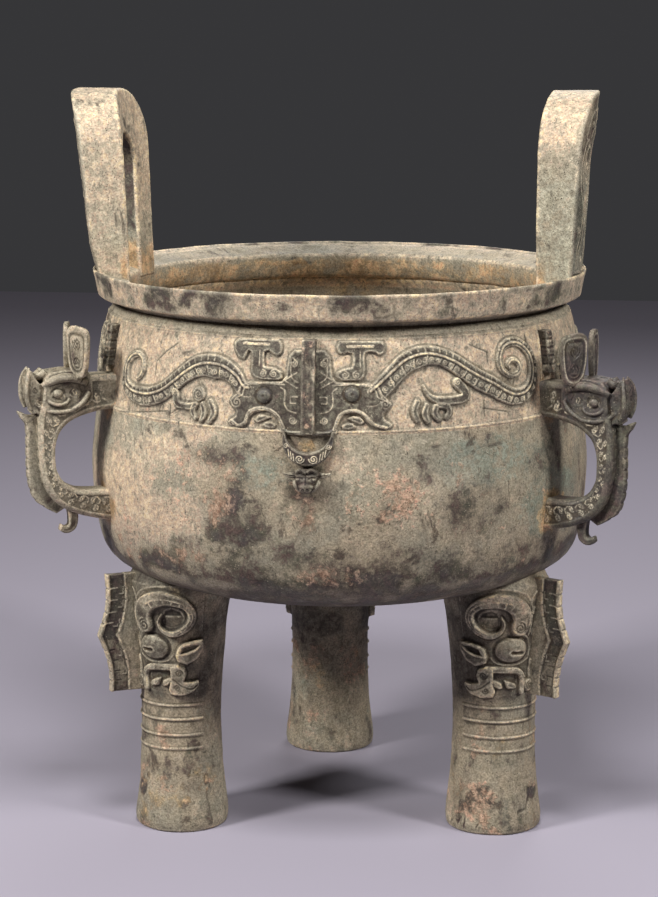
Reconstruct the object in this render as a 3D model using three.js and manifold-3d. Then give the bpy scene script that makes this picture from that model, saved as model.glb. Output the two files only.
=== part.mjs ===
// Large round bronze ding: a deep bowl on three column legs, with a thick rim,
// two upright arch ears, three beast-head loop handles and a band of six dragons.
// The real vessel is one casting, so it is one closed body.
// Millimetres, +Z up. The origin is on the ground at the middle of the overall box.
// Azimuths are measured about the vessel's axis, from +X towards +Y.
import * as THREE from 'three';
import { mergeVertices } from 'three/addons/utils/BufferGeometryUtils.js';
import Module from 'manifold-3d';

// ---------------------------------------------------------------- dimensions
const AXIS_X = -3.7, AXIS_Y = -53.4;   // vessel axis, from the middle of the overall box
const TURN = 48;               // facets round the bowl
const WALL = 11;               // wall of the bowl

// bowl, outside: radius, height
const BELLY = [
  [230, 387], [320, 410], [384, 438], [411, 487], [421, 556], [420.5, 618], [402, 790], [381, 868],
];
const BOTTOM_Z = 379.5;
const LIP = { outR: 416, outZ: 921.6, lowR: 407, lowZ: 878.7, inR: 357, inZ: 889, throatZ: 866 };

const EAR = {
  azimuths: [180, 0],
  half: 122, hole: 56.5, top: 1220, holeTop: 1144, foot: 895, square: 2.6,  // 2 is a round arch, more is squarer
  // height, outer radius, inner radius: the left ear leans out, the right one stands nearly straight
  faces: [
    [[895, 408, 355], [921, 411, 356.5], [966, 421, 358.5], [1037, 429.5, 361.5], [1154, 441.5, 368], [1196, 447, 372], [1220, 453, 375]],
    [[895, 412, 352], [921, 414, 352], [1016, 420.5, 352], [1094, 424.5, 353], [1171, 430, 354], [1205, 432.5, 354.5], [1220, 436, 356]],
  ],
  border: 9, sunk: 3, arch: 8, meanR: 392,
};

const LEG = {
  azimuths: [215.5, 335.5, 100], faces: [209, 329.5, 91], circle: 302, facets: 14,
  // height, radius
  profile: [[0, 79], [14, 81], [50, 77.5], [120, 71.5], [230, 70.5], [345, 80], [405, 89], [430, 82], [445, 66]],
};
const PLATE = { thick: 15, root: 50, top: 431.5, bottom: 234, tipZ: 329, tip: 145, upper: 131, lower: 125, notches: 3, notch: 3, notchDeep: 4 };

const HANDLE = {
  azimuths: [209.3, 332.3, 90], root: 388, half: 24.5,
  armTop: 762, armUnder: 704, lowTop: 572, lowUnder: 518,
  loopR: 508, backR: 536, finOut: 553, finHalf: 6,
};
const BAND = { low: 700, high: 846 };
const FLANGE = { half: 11, out: 17, low: 703, high: 847, notches: 4 };
const SHORT_FLANGE = { half: 10.5, out: 15, low: 774, high: 841 };
const FRONTS = [270, 30, 150];   // azimuths of the three long flanges and bull's heads

// ------------------------------------------------------------------- helpers
const wasm = await Module();
wasm.setup();
const rad = THREE.MathUtils.degToRad;
const lerp = THREE.MathUtils.lerp;

function table(points, keyAt, valueAt, key) {
  for (let i = 1; i < points.length; i++) {
    const [a, b] = [points[i - 1], points[i]];
    if (key <= b[keyAt]) return lerp(a[valueAt], b[valueAt], (Math.max(key, a[keyAt]) - a[keyAt]) / (b[keyAt] - a[keyAt]));
  }
  return points.at(-1)[valueAt];
}
const bellyR = (z) => table(BELLY, 1, 0, z);
const legR = (z) => table(LEG.profile, 0, 1, z);

// a point at a radius, a sideways offset and a height in the plane at an azimuth
function inPlane(azimuth, r, side, z) {
  const a = rad(azimuth);
  return new THREE.Vector3(r * Math.cos(a) - side * Math.sin(a), r * Math.sin(a) + side * Math.cos(a), z);
}

// a closed solid from any closed triangle soup, turned to face out
function solid(geometry) {
  const bare = geometry.clone();
  for (const name of ['normal', 'uv']) if (bare.getAttribute(name)) bare.deleteAttribute(name);
  const merged = mergeVertices(bare, 1e-3);
  const p = merged.getAttribute('position').array;
  const index = merged.index.array;
  const tris = [];
  let volume = 0;
  const v = [0, 1, 2].map(() => new THREE.Vector3());
  for (let i = 0; i < index.length; i += 3) {
    const t = [index[i], index[i + 1], index[i + 2]];
    if (t[0] === t[1] || t[1] === t[2] || t[0] === t[2]) continue;
    tris.push(...t);
    t.forEach((k, j) => v[j].fromArray(p, 3 * k));
    volume += v[0].dot(v[1].clone().cross(v[2]));
  }
  if (volume < 0) for (let i = 0; i < tris.length; i += 3) [tris[i + 1], tris[i + 2]] = [tris[i + 2], tris[i + 1]];
  return new wasm.Manifold(new wasm.Mesh({ numProp: 3, vertProperties: new Float32Array(p), triVerts: new Uint32Array(tris) }));
}

// a solid skinned over rings of points, with a fan over each end
function loft(rings) {
  const n = rings[0].length;
  const p = [];
  const quad = (a, b, c, d) => p.push(...a, ...b, ...c, ...a, ...c, ...d);
  for (let i = 1; i < rings.length; i++) {
    for (let j = 0; j < n; j++) {
      const k = (j + 1) % n;
      quad(rings[i - 1][j], rings[i - 1][k], rings[i][k], rings[i][j]);
    }
  }
  for (const [ring, flip] of [[rings[0], true], [rings.at(-1), false]]) {
    const middle = ring.reduce((s, q) => s.add(q), new THREE.Vector3()).divideScalar(n);
    for (let j = 0; j < n; j++) {
      const a = ring[j], b = ring[(j + 1) % n];
      p.push(...middle, ...(flip ? b : a), ...(flip ? a : b));
    }
  }
  const g = new THREE.BufferGeometry();
  g.setAttribute('position', new THREE.Float32BufferAttribute(p, 3));
  return solid(g);
}

// a flat outline of radius and height, standing in the plane at an azimuth
function plate(outline, half, azimuth, side = 0, bevel = 0, twist = 0, about = 0) {
  const shape = new THREE.Shape(outline.map(([r, z]) => new THREE.Vector2(r, z)));
  const g = new THREE.ExtrudeGeometry(shape, {
    depth: 2 * (half - bevel), bevelEnabled: bevel > 0, bevelSize: bevel, bevelOffset: -bevel,
    bevelThickness: bevel, bevelSegments: 1, steps: 1, curveSegments: 1,
  });
  g.translate(-about, 0, bevel - half);
  g.rotateX(Math.PI / 2);             // radius along X, height up, thickness along Y
  g.rotateZ(rad(twist));
  g.translate(about, side, 0);
  g.rotateZ(rad(azimuth));
  return solid(g);
}

// the solid swept out by a profile of radius and height turned about the axis
function turned(profile) {
  const g = new THREE.LatheGeometry(profile.map(([r, z]) => new THREE.Vector2(r, z)), TURN);
  g.rotateX(Math.PI / 2);
  return solid(g);
}

// a smooth path through control points of any number of coordinates
function smooth(points, steps) {
  const out = [];
  const n = points.length - 1;
  for (let i = 0; i <= steps; i++) {
    const u = (i / steps) * n;
    const k = Math.min(Math.floor(u), n - 1);
    const f = u - k;
    const [a, b, c, d] = [k - 1, k, k + 1, k + 2].map((q) => points[Math.min(Math.max(q, 0), n)]);
    out.push(b.map((_, j) => 0.5 * (2 * b[j] + (c[j] - a[j]) * f
      + (2 * a[j] - 5 * b[j] + 4 * c[j] - d[j]) * f * f + (3 * b[j] - a[j] - 3 * c[j] + d[j]) * f ** 3)));
  }
  return out;
}

// a raised strip that follows a path drawn on a curved skin;
// the path gives across, height and half-width, and skin() lifts a point off the surface
function strip(path, skin, high, deep, crown = 0.62) {
  return loft(path.map(([s, z, half], i) => {
    const [a, b] = [path[Math.max(i - 1, 0)], path[Math.min(i + 1, path.length - 1)]];
    const len = Math.hypot(b[0] - a[0], b[1] - a[1]);
    const [nx, nz] = [-(b[1] - a[1]) / len, (b[0] - a[0]) / len];
    const at = (w, h) => skin(s + nx * w * half, z + nz * w * half, h);
    return [at(-1, -deep), at(1, -deep), at(crown, high), at(-crown, high)];
  }));
}

// a low dome on a curved skin
function dome(s, z, halfS, halfZ, skin, high, deep, sides = 8) {
  const ring = (k, h) => Array.from({ length: sides }, (_, i) => {
    const a = (2 * Math.PI * i) / sides;
    return skin(s + Math.cos(a) * halfS * k, z + Math.sin(a) * halfZ * k, h);
  });
  return loft([ring(1.1, -deep), ring(0.55, high)]);
}

const parts = [];
const join = (list) => list.reduce((a, b) => a.add(b));

// ---------------------------------------------------------------------- bowl
const outer = [[0, BOTTOM_Z], ...BELLY, [LIP.lowR, LIP.lowZ], [LIP.outR, LIP.outZ], [LIP.inR, LIP.inZ], [0, LIP.inZ]];
const hollow = [[0, BOTTOM_Z + WALL],
  ...BELLY.filter(([, z]) => z < 400).map(([r, z]) => [r - 2, z + WALL]),
  ...BELLY.filter(([, z]) => z > 430 && z < 460).map(([r, z]) => [r - 8, z + 8]),
  ...BELLY.filter(([, z]) => z > 460 && z < 860).map(([r, z]) => [r - WALL, z]),
  [LIP.inR + 4, LIP.throatZ], [LIP.inR, LIP.inZ], [LIP.inR, LIP.inZ + 6], [0, LIP.inZ + 6]];
parts.push(turned(outer));

// ---------------------------------------------------------------------- ears
// an arch bent round the rim, leaning outwards, with a sunk field inside a raised border
function ear(azimuth, faces) {
  const centreO = EAR.top - EAR.half;
  const centreI = EAR.holeTop - EAR.hole;
  const stations = [];
  for (const f of [0, 0.2, 1]) stations.push([-EAR.half, lerp(EAR.foot, centreO, f), -EAR.hole, lerp(EAR.foot, centreI, f)]);
  for (let i = 1; i < EAR.arch; i++) {
    const a = Math.PI * (1 - i / EAR.arch);
    const bow = (v) => Math.sign(v) * Math.abs(v) ** (2 / EAR.square);
    stations.push([EAR.half * bow(Math.cos(a)), centreO + (EAR.top - centreO) * bow(Math.sin(a)), EAR.hole * Math.cos(a), centreI + EAR.hole * Math.sin(a)]);
  }
  for (const f of [1, 0.2, 0]) stations.push([EAR.half, lerp(EAR.foot, centreO, f), EAR.hole, lerp(EAR.foot, centreI, f)]);
  const point = (s, z, out) => {
    const r = out >= 0 ? table(faces, 0, 1, z) - out : table(faces, 0, 2, z);
    return inPlane(azimuth + THREE.MathUtils.radToDeg(s / EAR.meanR), r, 0, z);
  };
  return loft(stations.map(([so, zo, si, zi]) => {
    const width = Math.hypot(so - si, zo - zi);
    const at = (d) => [lerp(so, si, d / width), lerp(zo, zi, d / width)];
    const ring = [[0, 0], [EAR.border, 0], [EAR.border + 3, EAR.sunk], [width - EAR.border - 3, EAR.sunk], [width - EAR.border, 0], [width, 0]]
      .map(([d, sunk]) => point(...at(d), sunk));
    return [...ring, point(si, zi, -1), point(so, zo, -1)];
  }));
}
EAR.azimuths.forEach((a, i) => parts.push(ear(a, EAR.faces[i])));

// ---------------------------------------------------------------------- legs
const legCentre = (i) => inPlane(LEG.azimuths[i], LEG.circle, 0, 0);
function legColumn(i) {
  const c = legCentre(i);
  return loft(LEG.profile.map(([z, r]) => Array.from({ length: LEG.facets },
    (_, j) => inPlane(LEG.faces[i] + (360 * (j + 0.5)) / LEG.facets, r, 0, z).add(c))));
}
// skin of a leg: angle from its face, height, and lift off the surface
const legSkin = (i, side) => (psi, z, h) => inPlane(LEG.faces[i] + side * psi, legR(z) + h, 0, z).add(legCentre(i));

function legMask(i) {
  const out = [];
  for (const side of [1, -1]) {
    const skin = legSkin(i, side);
    // widths run in degrees across the leg, so heights are scaled to match
    const mm = (points) => points.map(([psi, z, w]) => [psi * 1.33, z, w]);
    const onLeg = (s, z, h) => skin(s / 1.33, z, h);
    out.push(strip(smooth(mm([[17, 333, 9], [14, 362, 11], [25, 391, 12], [50, 402, 12], [76, 391, 11], [89, 368, 9],
      [78, 344, 7], [55, 337, 4]]), 8), onLeg, 9, 8));
    out.push(dome(34 * 1.33, 306, 26, 21, onLeg, 12, 6));
    out.push(strip(mm([[62, 290, 5], [77, 303, 15], [99, 319, 3]]), onLeg, 12, 6));
  }
  return out;
}

// toothed flange down the front of each mask
function legPlate(i) {
  const { root, top, bottom, tipZ, tip, upper, lower, notches, notch, notchDeep } = PLATE;
  const edge = [];
  const run = (z0, r0, z1, r1, hollowBy) => {
    for (let k = 0; k <= notches; k++) {
      const f = k / (notches + 1);
      const at = (g) => [lerp(r0, r1, g) - hollowBy * Math.sin(Math.PI * g), lerp(z0, z1, g)];
      edge.push(at(f));
      if (k > 0) {
        const d = (0.5 * notch) / Math.abs(z1 - z0);
        edge.pop();
        const [a, b] = [at(f - d), at(f + d)];
        edge.push(a, [a[0] - notchDeep, a[1]], [b[0] - notchDeep, b[1]], b);
      }
    }
  };
  run(top, upper, tipZ, tip, 8);
  run(tipZ, tip, bottom, lower, 7);
  edge.push([lower, bottom]);
  const g = plate([[root, top - 6], ...edge, [root, bottom + 4]], PLATE.thick / 2, LEG.faces[i]);
  const c = legCentre(i);
  return g.translate([c.x, c.y, 0]);
}
for (let i = 0; i < 3; i++) parts.push(legColumn(i), ...legMask(i), legPlate(i));

// ------------------------------------------------------------------- handles
function handle(azimuth) {
  const { root, half, armTop, armUnder, lowTop, lowUnder, loopR, backR, finOut, finHalf } = HANDLE;
  const midZ = (armUnder + lowTop) / 2;
  // loop: a back-to-front C from the upper arm to the lower arm
  const body = [[root, armTop], [470, armTop], [508, 750], [529, 724], [backR, 688], [backR, 628], [529, 589], [511, 558], [480, 537], [430, 521], [root, lowUnder],
    [root, lowTop], [436, lowTop], [472, 575], [495, 592], [loopR, 617], [loopR, 650], [500, 676], [478, 693], [434, armUnder], [root, armUnder]];
  const fin = [[533, 700], [550, 700], [566, 706], [565, 697], [finOut, 686], [finOut, 603], [545, 561], [521, 543], [498, 531], [492, 540], [514, 562], [524, 590], [528, midZ], [528, 690]];
  const head = [[446, 756], [454, 774], [490, 777], [520, 773], [528, 763], [527, 746], [531, 722], [524, 710], [476, 702], [446, 722]];
  const snout = [[518, 747], [536, 753], [543, 766], [547, 778], [554, 765], [556, 742], [552, 720], [544, 708], [530, 698], [518, 706]];
  const tail = [[470, 540], [486, 540], [484, 522], [492, 513], [497, 519], [500, 508], [488, 499], [474, 506]];
  const horn = [[-19, 768], [-26, 800], [-27, 832], [-20, 843], [16, 846], [27, 836], [26, 800], [17, 772], [0, 763]];
  const out = [
    plate(body, half, azimuth),
    plate(fin, finHalf, azimuth),
    plate(head, half + 4, azimuth),
    plate(snout, 19, azimuth),
    plate(tail, 8, azimuth),
  ];
  for (const side of [1, -1]) {
    out.push(plate(horn.map(([x, z]) => [x + 472, z]), 4.5, azimuth, side * 33, 0, side * -70, 472));
    const skin = (s, z, h) => inPlane(azimuth, s, side * (half + 3 + h), z);
    out.push(dome(504, 734, 11, 10, skin, 6, 4, 6));
    out.push(strip([[462, 750, 8], [494, 756, 9], [525, 750, 8]], skin, 7, 4));
  }
  return out;
}
HANDLE.azimuths.forEach((a) => parts.push(...handle(a)));

// ------------------------------------------------- band, flanges, bull's heads
// skin of the belly round one front: millimetres along the curve, height, lift
const ARC = 405;
const bellySkin = (front, side) => (s, z, h) => inPlane(front + side * THREE.MathUtils.radToDeg(s / ARC), bellyR(z) + h, 0, z);
const deg = (d) => rad(d) * ARC;

function longFlange(front) {
  const { half, out, low, high, notches } = FLANGE;
  const face = [[bellyR(low) - 6, low]];
  for (let k = 0; k <= notches; k++) {
    const z = lerp(low, high, k / notches);
    if (k > 0 && k < notches) {
      face.push([bellyR(z) + out, z - 1.5], [bellyR(z) + out - 2.5, z - 1.5], [bellyR(z) + out - 2.5, z + 1.5], [bellyR(z) + out, z + 1.5]);
    } else face.push([bellyR(z) + out, z]);
  }
  face.push([bellyR(high) - 6, high]);
  return plate(face, half, front);
}

function shortFlange(azimuth) {
  const { half, out, low, high } = SHORT_FLANGE;
  return plate([[bellyR(low) - 6, low], [bellyR(low) + out, low], [bellyR(high) + out, high], [bellyR(high) - 6, high]], half, azimuth);
}

// dragons: an eye, and a body that arches back from the head into a curled tail
const DRAGONS = [
  { side: -1, body: [[13, 765, 10], [17, 786, 17], [20, 797, 20], [24, 798, 21], [28, 788, 20], [33, 768, 18], [38, 748, 17], [42.5, 736, 16],
    [46.5, 735, 14], [50, 745, 10], [51.3, 770, 7], [50.5, 793, 6], [47.3, 804, 5], [44.6, 792, 4.5], [45.4, 767, 4]] },
  { side: 1, body: [[14, 766, 10], [18, 786, 17], [22, 806, 20], [26, 816, 20], [30, 812, 20], [34, 796, 19], [39, 776, 18], [44, 757, 17],
    [48, 741, 15], [52, 734, 14], [56, 745, 12], [57.3, 778, 9], [55.5, 812, 7], [50.5, 828, 6], [46.5, 812, 5], [47.5, 783, 4]] },
];
function dragon(front, { side, body }) {
  const skin = bellySkin(front, side);
  const mm = (points) => points.map(([d, z, w]) => [deg(d), z, w]);
  return [
    strip(smooth(mm(body), 8), skin, 4.5, 5, 0.8),
    dome(deg(9.7), 756, 12, 12, skin, 8, 4, 6),
  ];
}

// bull's head: broad horns curve up from the brow to the band, with the muzzle below
function bull(front) {
  const at = (side, z, out) => inPlane(front, bellyR(z) + out, side, z);
  const horns = [];
  for (let k = 0; k <= 8; k++) {
    const a = Math.PI * (k / 8);
    const [c, s] = [-Math.cos(a), Math.sin(a)];
    const rim = [47 * c, 704 - 51 * s];
    const inner = [43 * c, 704 - 31 * s];
    const out = 9 + 15 * s;
    const back = k === 0 || k === 8 ? -6 : out - 7 - 8 * s;
    horns.push([at(...rim, back), at(...rim, out), at(...inner, out), at(...inner, back)]);
  }
  const level = (z, w, near, far) => [at(-w, z, near), at(w, z, near), at(w, z, far - 8), at(w * 0.5, z, far), at(-w * 0.5, z, far), at(-w, z, far - 8)];
  const face = loft([level(664, 20, -6, 21), level(652, 22, -6, 30), level(642, 18, -6, 34), level(630, 13, -6, 40), level(618, 11, -6, 38), level(612, 7, -6, 30)]);
  const out = [loft(horns), face];
  for (const side of [1, -1]) {
    const s = (w) => side * w;
    out.push(loft([[at(s(12), 656, -4), at(s(12), 644, -4), at(s(12), 644, 24), at(s(12), 656, 24)],
      [at(s(38), 655, 12), at(s(38), 649, 12), at(s(38), 649, 20), at(s(38), 655, 20)]]));
  }
  return out;
}

for (const front of FRONTS) {
  parts.push(longFlange(front), ...bull(front));
  for (const d of DRAGONS) parts.push(...dragon(front, d));
}
HANDLE.azimuths.forEach((a) => parts.push(shortFlange(a)));

// ------------------------------------------------------------------- casting
const casting = join(parts).subtract(turned(hollow));
const raw = casting.getMesh();
const geometry = new THREE.BufferGeometry();
geometry.setAttribute('position', new THREE.Float32BufferAttribute(raw.vertProperties, 3));
geometry.setIndex([...raw.triVerts]);

const bronze = new THREE.MeshStandardMaterial({ color: 0xb3a589, roughness: 0.72, metalness: 0.45 });
const ding = new THREE.Mesh(geometry, bronze);
ding.name = 'ding';
ding.position.set(AXIS_X, AXIS_Y, 0);

const vessel = new THREE.Group();
vessel.name = 'ding_vessel';
vessel.add(ding);
export default vessel;
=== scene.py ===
import bpy, math
import numpy as np
from mathutils import Vector, Matrix


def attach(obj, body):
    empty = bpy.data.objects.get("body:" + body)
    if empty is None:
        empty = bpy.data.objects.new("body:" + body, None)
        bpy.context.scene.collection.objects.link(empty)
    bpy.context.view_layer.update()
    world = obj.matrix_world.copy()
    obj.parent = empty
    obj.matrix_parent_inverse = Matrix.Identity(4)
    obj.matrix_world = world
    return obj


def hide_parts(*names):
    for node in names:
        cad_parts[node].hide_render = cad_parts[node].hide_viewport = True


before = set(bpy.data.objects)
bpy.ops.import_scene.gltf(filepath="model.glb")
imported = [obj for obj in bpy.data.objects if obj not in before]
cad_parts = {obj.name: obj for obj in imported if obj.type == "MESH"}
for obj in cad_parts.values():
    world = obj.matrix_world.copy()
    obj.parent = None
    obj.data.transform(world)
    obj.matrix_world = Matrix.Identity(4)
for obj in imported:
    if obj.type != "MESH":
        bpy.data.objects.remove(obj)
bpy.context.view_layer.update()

# ---------------------------------------------------------------------------
# Bronze ding. All shapes are worked out in millimetres about the vessel's
# axis, and become metres in the row frame at the very end of each mesh.
# ---------------------------------------------------------------------------
AXIS_X, AXIS_Y = -3.7, -53.4       # the vessel's axis in the row frame
ARC = 405.0                        # radius at which the band is laid out flat
DEG = math.radians(1) * ARC        # millimetres per degree along the band
FRONTS = (270.0, 30.0, 150.0)      # long flanges and bull's heads
HANDLES = (209.3, 332.3, 90.0)
LEGS = ((215.5, 209.0), (335.5, 329.5), (100.0, 91.0))   # where each stands, which way it faces


def step(a, b, x):
    t = np.clip((x - a) / (b - a), 0, 1)
    return t * t * (3 - 2 * t)


def spline(points, spacing=None, count=None):
    """Catmull-Rom through the points, resampled evenly."""
    P = np.asarray(points, float)
    Q = np.vstack([2 * P[0] - P[1], P, 2 * P[-1] - P[-2]])
    out = []
    for i in range(1, len(Q) - 2):
        t = np.linspace(0, 1, 13)[:-1, None]
        a, b, c, d = Q[i - 1], Q[i], Q[i + 1], Q[i + 2]
        out.append(0.5 * (2 * b + (c - a) * t + (2 * a - 5 * b + 4 * c - d) * t ** 2 + (3 * b - a - 3 * c + d) * t ** 3))
    C = np.vstack(out + [P[-1:]])
    L = np.concatenate([[0], np.cumsum(np.hypot(*np.diff(C, axis=0)[:, :2].T) if C.shape[1] == 2 else np.linalg.norm(np.diff(C, axis=0), axis=1))])
    n = count or max(2, int(round(L[-1] / spacing)) + 1)
    at = np.linspace(0, L[-1], n)
    return np.stack([np.interp(at, L, C[:, k]) for k in range(C.shape[1])], 1)


def line_points(points, spacing):
    P = np.asarray(points, float)
    L = np.concatenate([[0], np.cumsum(np.linalg.norm(np.diff(P, axis=0), axis=1))])
    n = max(2, int(round(L[-1] / spacing)) + 1)
    at = np.linspace(0, L[-1], n)
    return np.stack([np.interp(at, L, P[:, k]) for k in range(P.shape[1])], 1)


# --------------------------------------------------------------- value noise
def _hash(i, j, k, seed):
    seed = int(seed)
    n = (i.astype(np.int64) * 73856093) ^ (j.astype(np.int64) * 19349663) ^ (k.astype(np.int64) * 83492791) ^ (seed * 2654435761 % 4294967296)
    n = (n & 0xffffffff)
    n = (n ^ (n >> 13)) * 1274126177 & 0xffffffff
    n = (n ^ (n >> 16)) * 2246822519 & 0xffffffff
    return ((n ^ (n >> 15)) & 0xffffff) / float(0xffffff) * 2 - 1


def noise(P, size, seed=0, octaves=1):
    """Smooth value noise from -1 to 1, with cells of that size in millimetres."""
    total, amp, out = 0.0, 1.0, 0.0
    for o in range(octaves):
        Q = P / (size / 2 ** o)
        f = np.floor(Q).astype(np.int64)
        t = Q - f
        t = t * t * (3 - 2 * t)
        v = 0
        for a in (0, 1):
            for b in (0, 1):
                for c in (0, 1):
                    w = (t[..., 0] if a else 1 - t[..., 0]) * (t[..., 1] if b else 1 - t[..., 1]) * (t[..., 2] if c else 1 - t[..., 2])
                    v = v + w * _hash(f[..., 0] + a, f[..., 1] + b, f[..., 2] + c, seed + 17 * o)
        out = out + v * amp
        total += amp
        amp *= 0.5
    return out / total


# ------------------------------------------------------------ relief drawing
class Canvas:
    """A height map over any set of flat points: across and up, in millimetres."""

    def __init__(self, s, z):
        self.shape = s.shape
        self.s, self.z = s.ravel().astype(float), z.ravel().astype(float)
        n = self.s.size
        self.h, self.line, self.dark, self.pit = (np.zeros(n) for _ in range(4))

    def near(self, path, reach):
        path = np.asarray(path, float)
        lo, hi = path.min(0) - reach, path.max(0) + reach
        idx = np.nonzero((self.s > lo[0]) & (self.s < hi[0]) & (self.z > lo[1]) & (self.z < hi[1]))[0]
        P = np.stack([self.s[idx], self.z[idx]], 1)
        best = np.full(len(idx), 1e9)
        U, V = np.zeros(len(idx)), np.zeros(len(idx))
        total = 0.0
        for a, b in zip(path[:-1], path[1:]):
            ab = b - a
            L = math.hypot(*ab)
            if L < 1e-9:
                continue
            w = P - a
            t = np.clip((w @ ab) / L ** 2, 0, 1)
            q = w - t[:, None] * ab
            d = np.hypot(q[:, 0], q[:, 1])
            m = d < best
            best[m] = d[m]
            U[m] = total + t[m] * L
            cross = ab[0] * w[m, 1] - ab[1] * w[m, 0]
            V[m] = np.where(cross >= 0, 1, -1) * d[m]
            total += L
        return idx, best, U, V, total

    def lift(self, idx, value):
        self.h[idx] = np.maximum(self.h[idx], value)

    def strip(self, path, half, high, edge=2.2, dark=None, border=True, taper=None):
        """A raised strip; half may be a number or a list spread along the path."""
        widths = np.atleast_1d(half).astype(float)
        idx, d, u, v, L = self.near(path, widths.max() + 3)
        w = np.interp(u / L, np.linspace(0, 1, len(widths)), widths) if len(widths) > 1 else widths[0]
        inside = w - d
        self.lift(idx, high * step(0, edge, inside))
        if dark is not None:
            m = inside > 0.6
            self.dark[idx[m]] = dark
        if border:
            k = np.exp(-((inside - 1.7) / 0.95) ** 2)
            self.h[idx] += 0.7 * k
            self.line[idx] = np.maximum(self.line[idx], k)

    def thread(self, path, high=0.9, half=0.95, pale=1.0):
        idx, d, *_ = self.near(path, 4 * half)
        k = np.exp(-(d / half) ** 2)
        self.h[idx] += high * k
        self.line[idx] = np.maximum(self.line[idx], pale * k) if high > 0 else self.line[idx] * (1 - k)
        if high < 0:
            self.pit[idx] = np.maximum(self.pit[idx], k)

    def area(self, poly, high, edge=2.2, dark=None, border=False, sink=False):
        """Fills a closed outline."""
        P = np.asarray(poly, float)
        loop = np.vstack([P, P[:1]])
        idx, d, *_ = self.near(loop, 40)
        s, z = self.s[idx], self.z[idx]
        inside = np.zeros(len(idx), bool)
        for a, b in zip(loop[:-1], loop[1:]):
            m = (a[1] > z) != (b[1] > z)
            with np.errstate(divide="ignore", invalid="ignore"):
                x = a[0] + (z - a[1]) / (b[1] - a[1]) * (b[0] - a[0])
            inside ^= m & (s < x)
        sd = np.where(inside, d, -d)
        if sink:
            self.h[idx] -= high * step(0, edge, sd)
        else:
            self.lift(idx, high * step(0, edge, sd))
        if dark is not None:
            m = sd > 0.4
            self.dark[idx[m]] = dark
        if border:
            k = np.exp(-((sd - 1.7) / 0.95) ** 2)
            self.h[idx] += 0.7 * k
            self.line[idx] = np.maximum(self.line[idx], k)

    def dome(self, cs, cz, rs, rz, high, dark=None, base=0.0, power=0.5, pupil=0.0):
        q = np.sqrt(((self.s - cs) / rs) ** 2 + ((self.z - cz) / rz) ** 2)
        m = np.nonzero(q < 1.25)[0]
        q = q[m]
        top = base + high * np.clip(1 - q ** 2, 0, 1) ** power
        self.h[m] = np.where(q < 1, np.maximum(self.h[m], top), self.h[m])
        ring = np.exp(-((q - 1.1) * max(rs, rz) / 1.6) ** 2)
        self.h[m] -= 0.9 * ring
        self.pit[m] = np.maximum(self.pit[m], 0.8 * ring)
        if dark is not None:
            self.dark[m[q < 1]] = dark
        if pupil:
            k = np.exp(-(q * max(rs, rz) / pupil) ** 2)
            self.h[m] -= 2.2 * k
            self.pit[m] = np.maximum(self.pit[m], k)

    def get(self, name):
        return getattr(self, name).reshape(self.shape)


def spiral(cs, cz, r, turns=1.6, start=0.0, way=1, inner=0.9, tail=None):
    """Points of a spiral from its outside to its middle."""
    n = max(14, int(24 * turns))
    a = np.linspace(0, 1, n)
    rr = r + (inner - r) * a
    phi = math.radians(start) + way * 2 * math.pi * turns * a
    pts = np.stack([cs + rr * np.cos(phi), cz + rr * np.sin(phi)], 1)
    return np.vstack([np.atleast_2d(tail), pts]) if tail is not None else pts


# ---------------------------------------------------------------- mesh maker
ALL = []
KEEP = {"bowl": 0.34, "rim": 0.38, "band_270": 0.68, "band": 0.5, "leg_plate": 0.5, "leg_0": 0.58, "leg_1": 0.58, "leg_2": 0.5, "ear": 0.45, "handle": 0.58, "head": 0.62,
        "bull_horns": 0.5, "bull": 0.6, "fin": 0.5, "flange": 0.5, "short_flange": 0.55, "horn": 0.45, "tail": 0.6}


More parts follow.
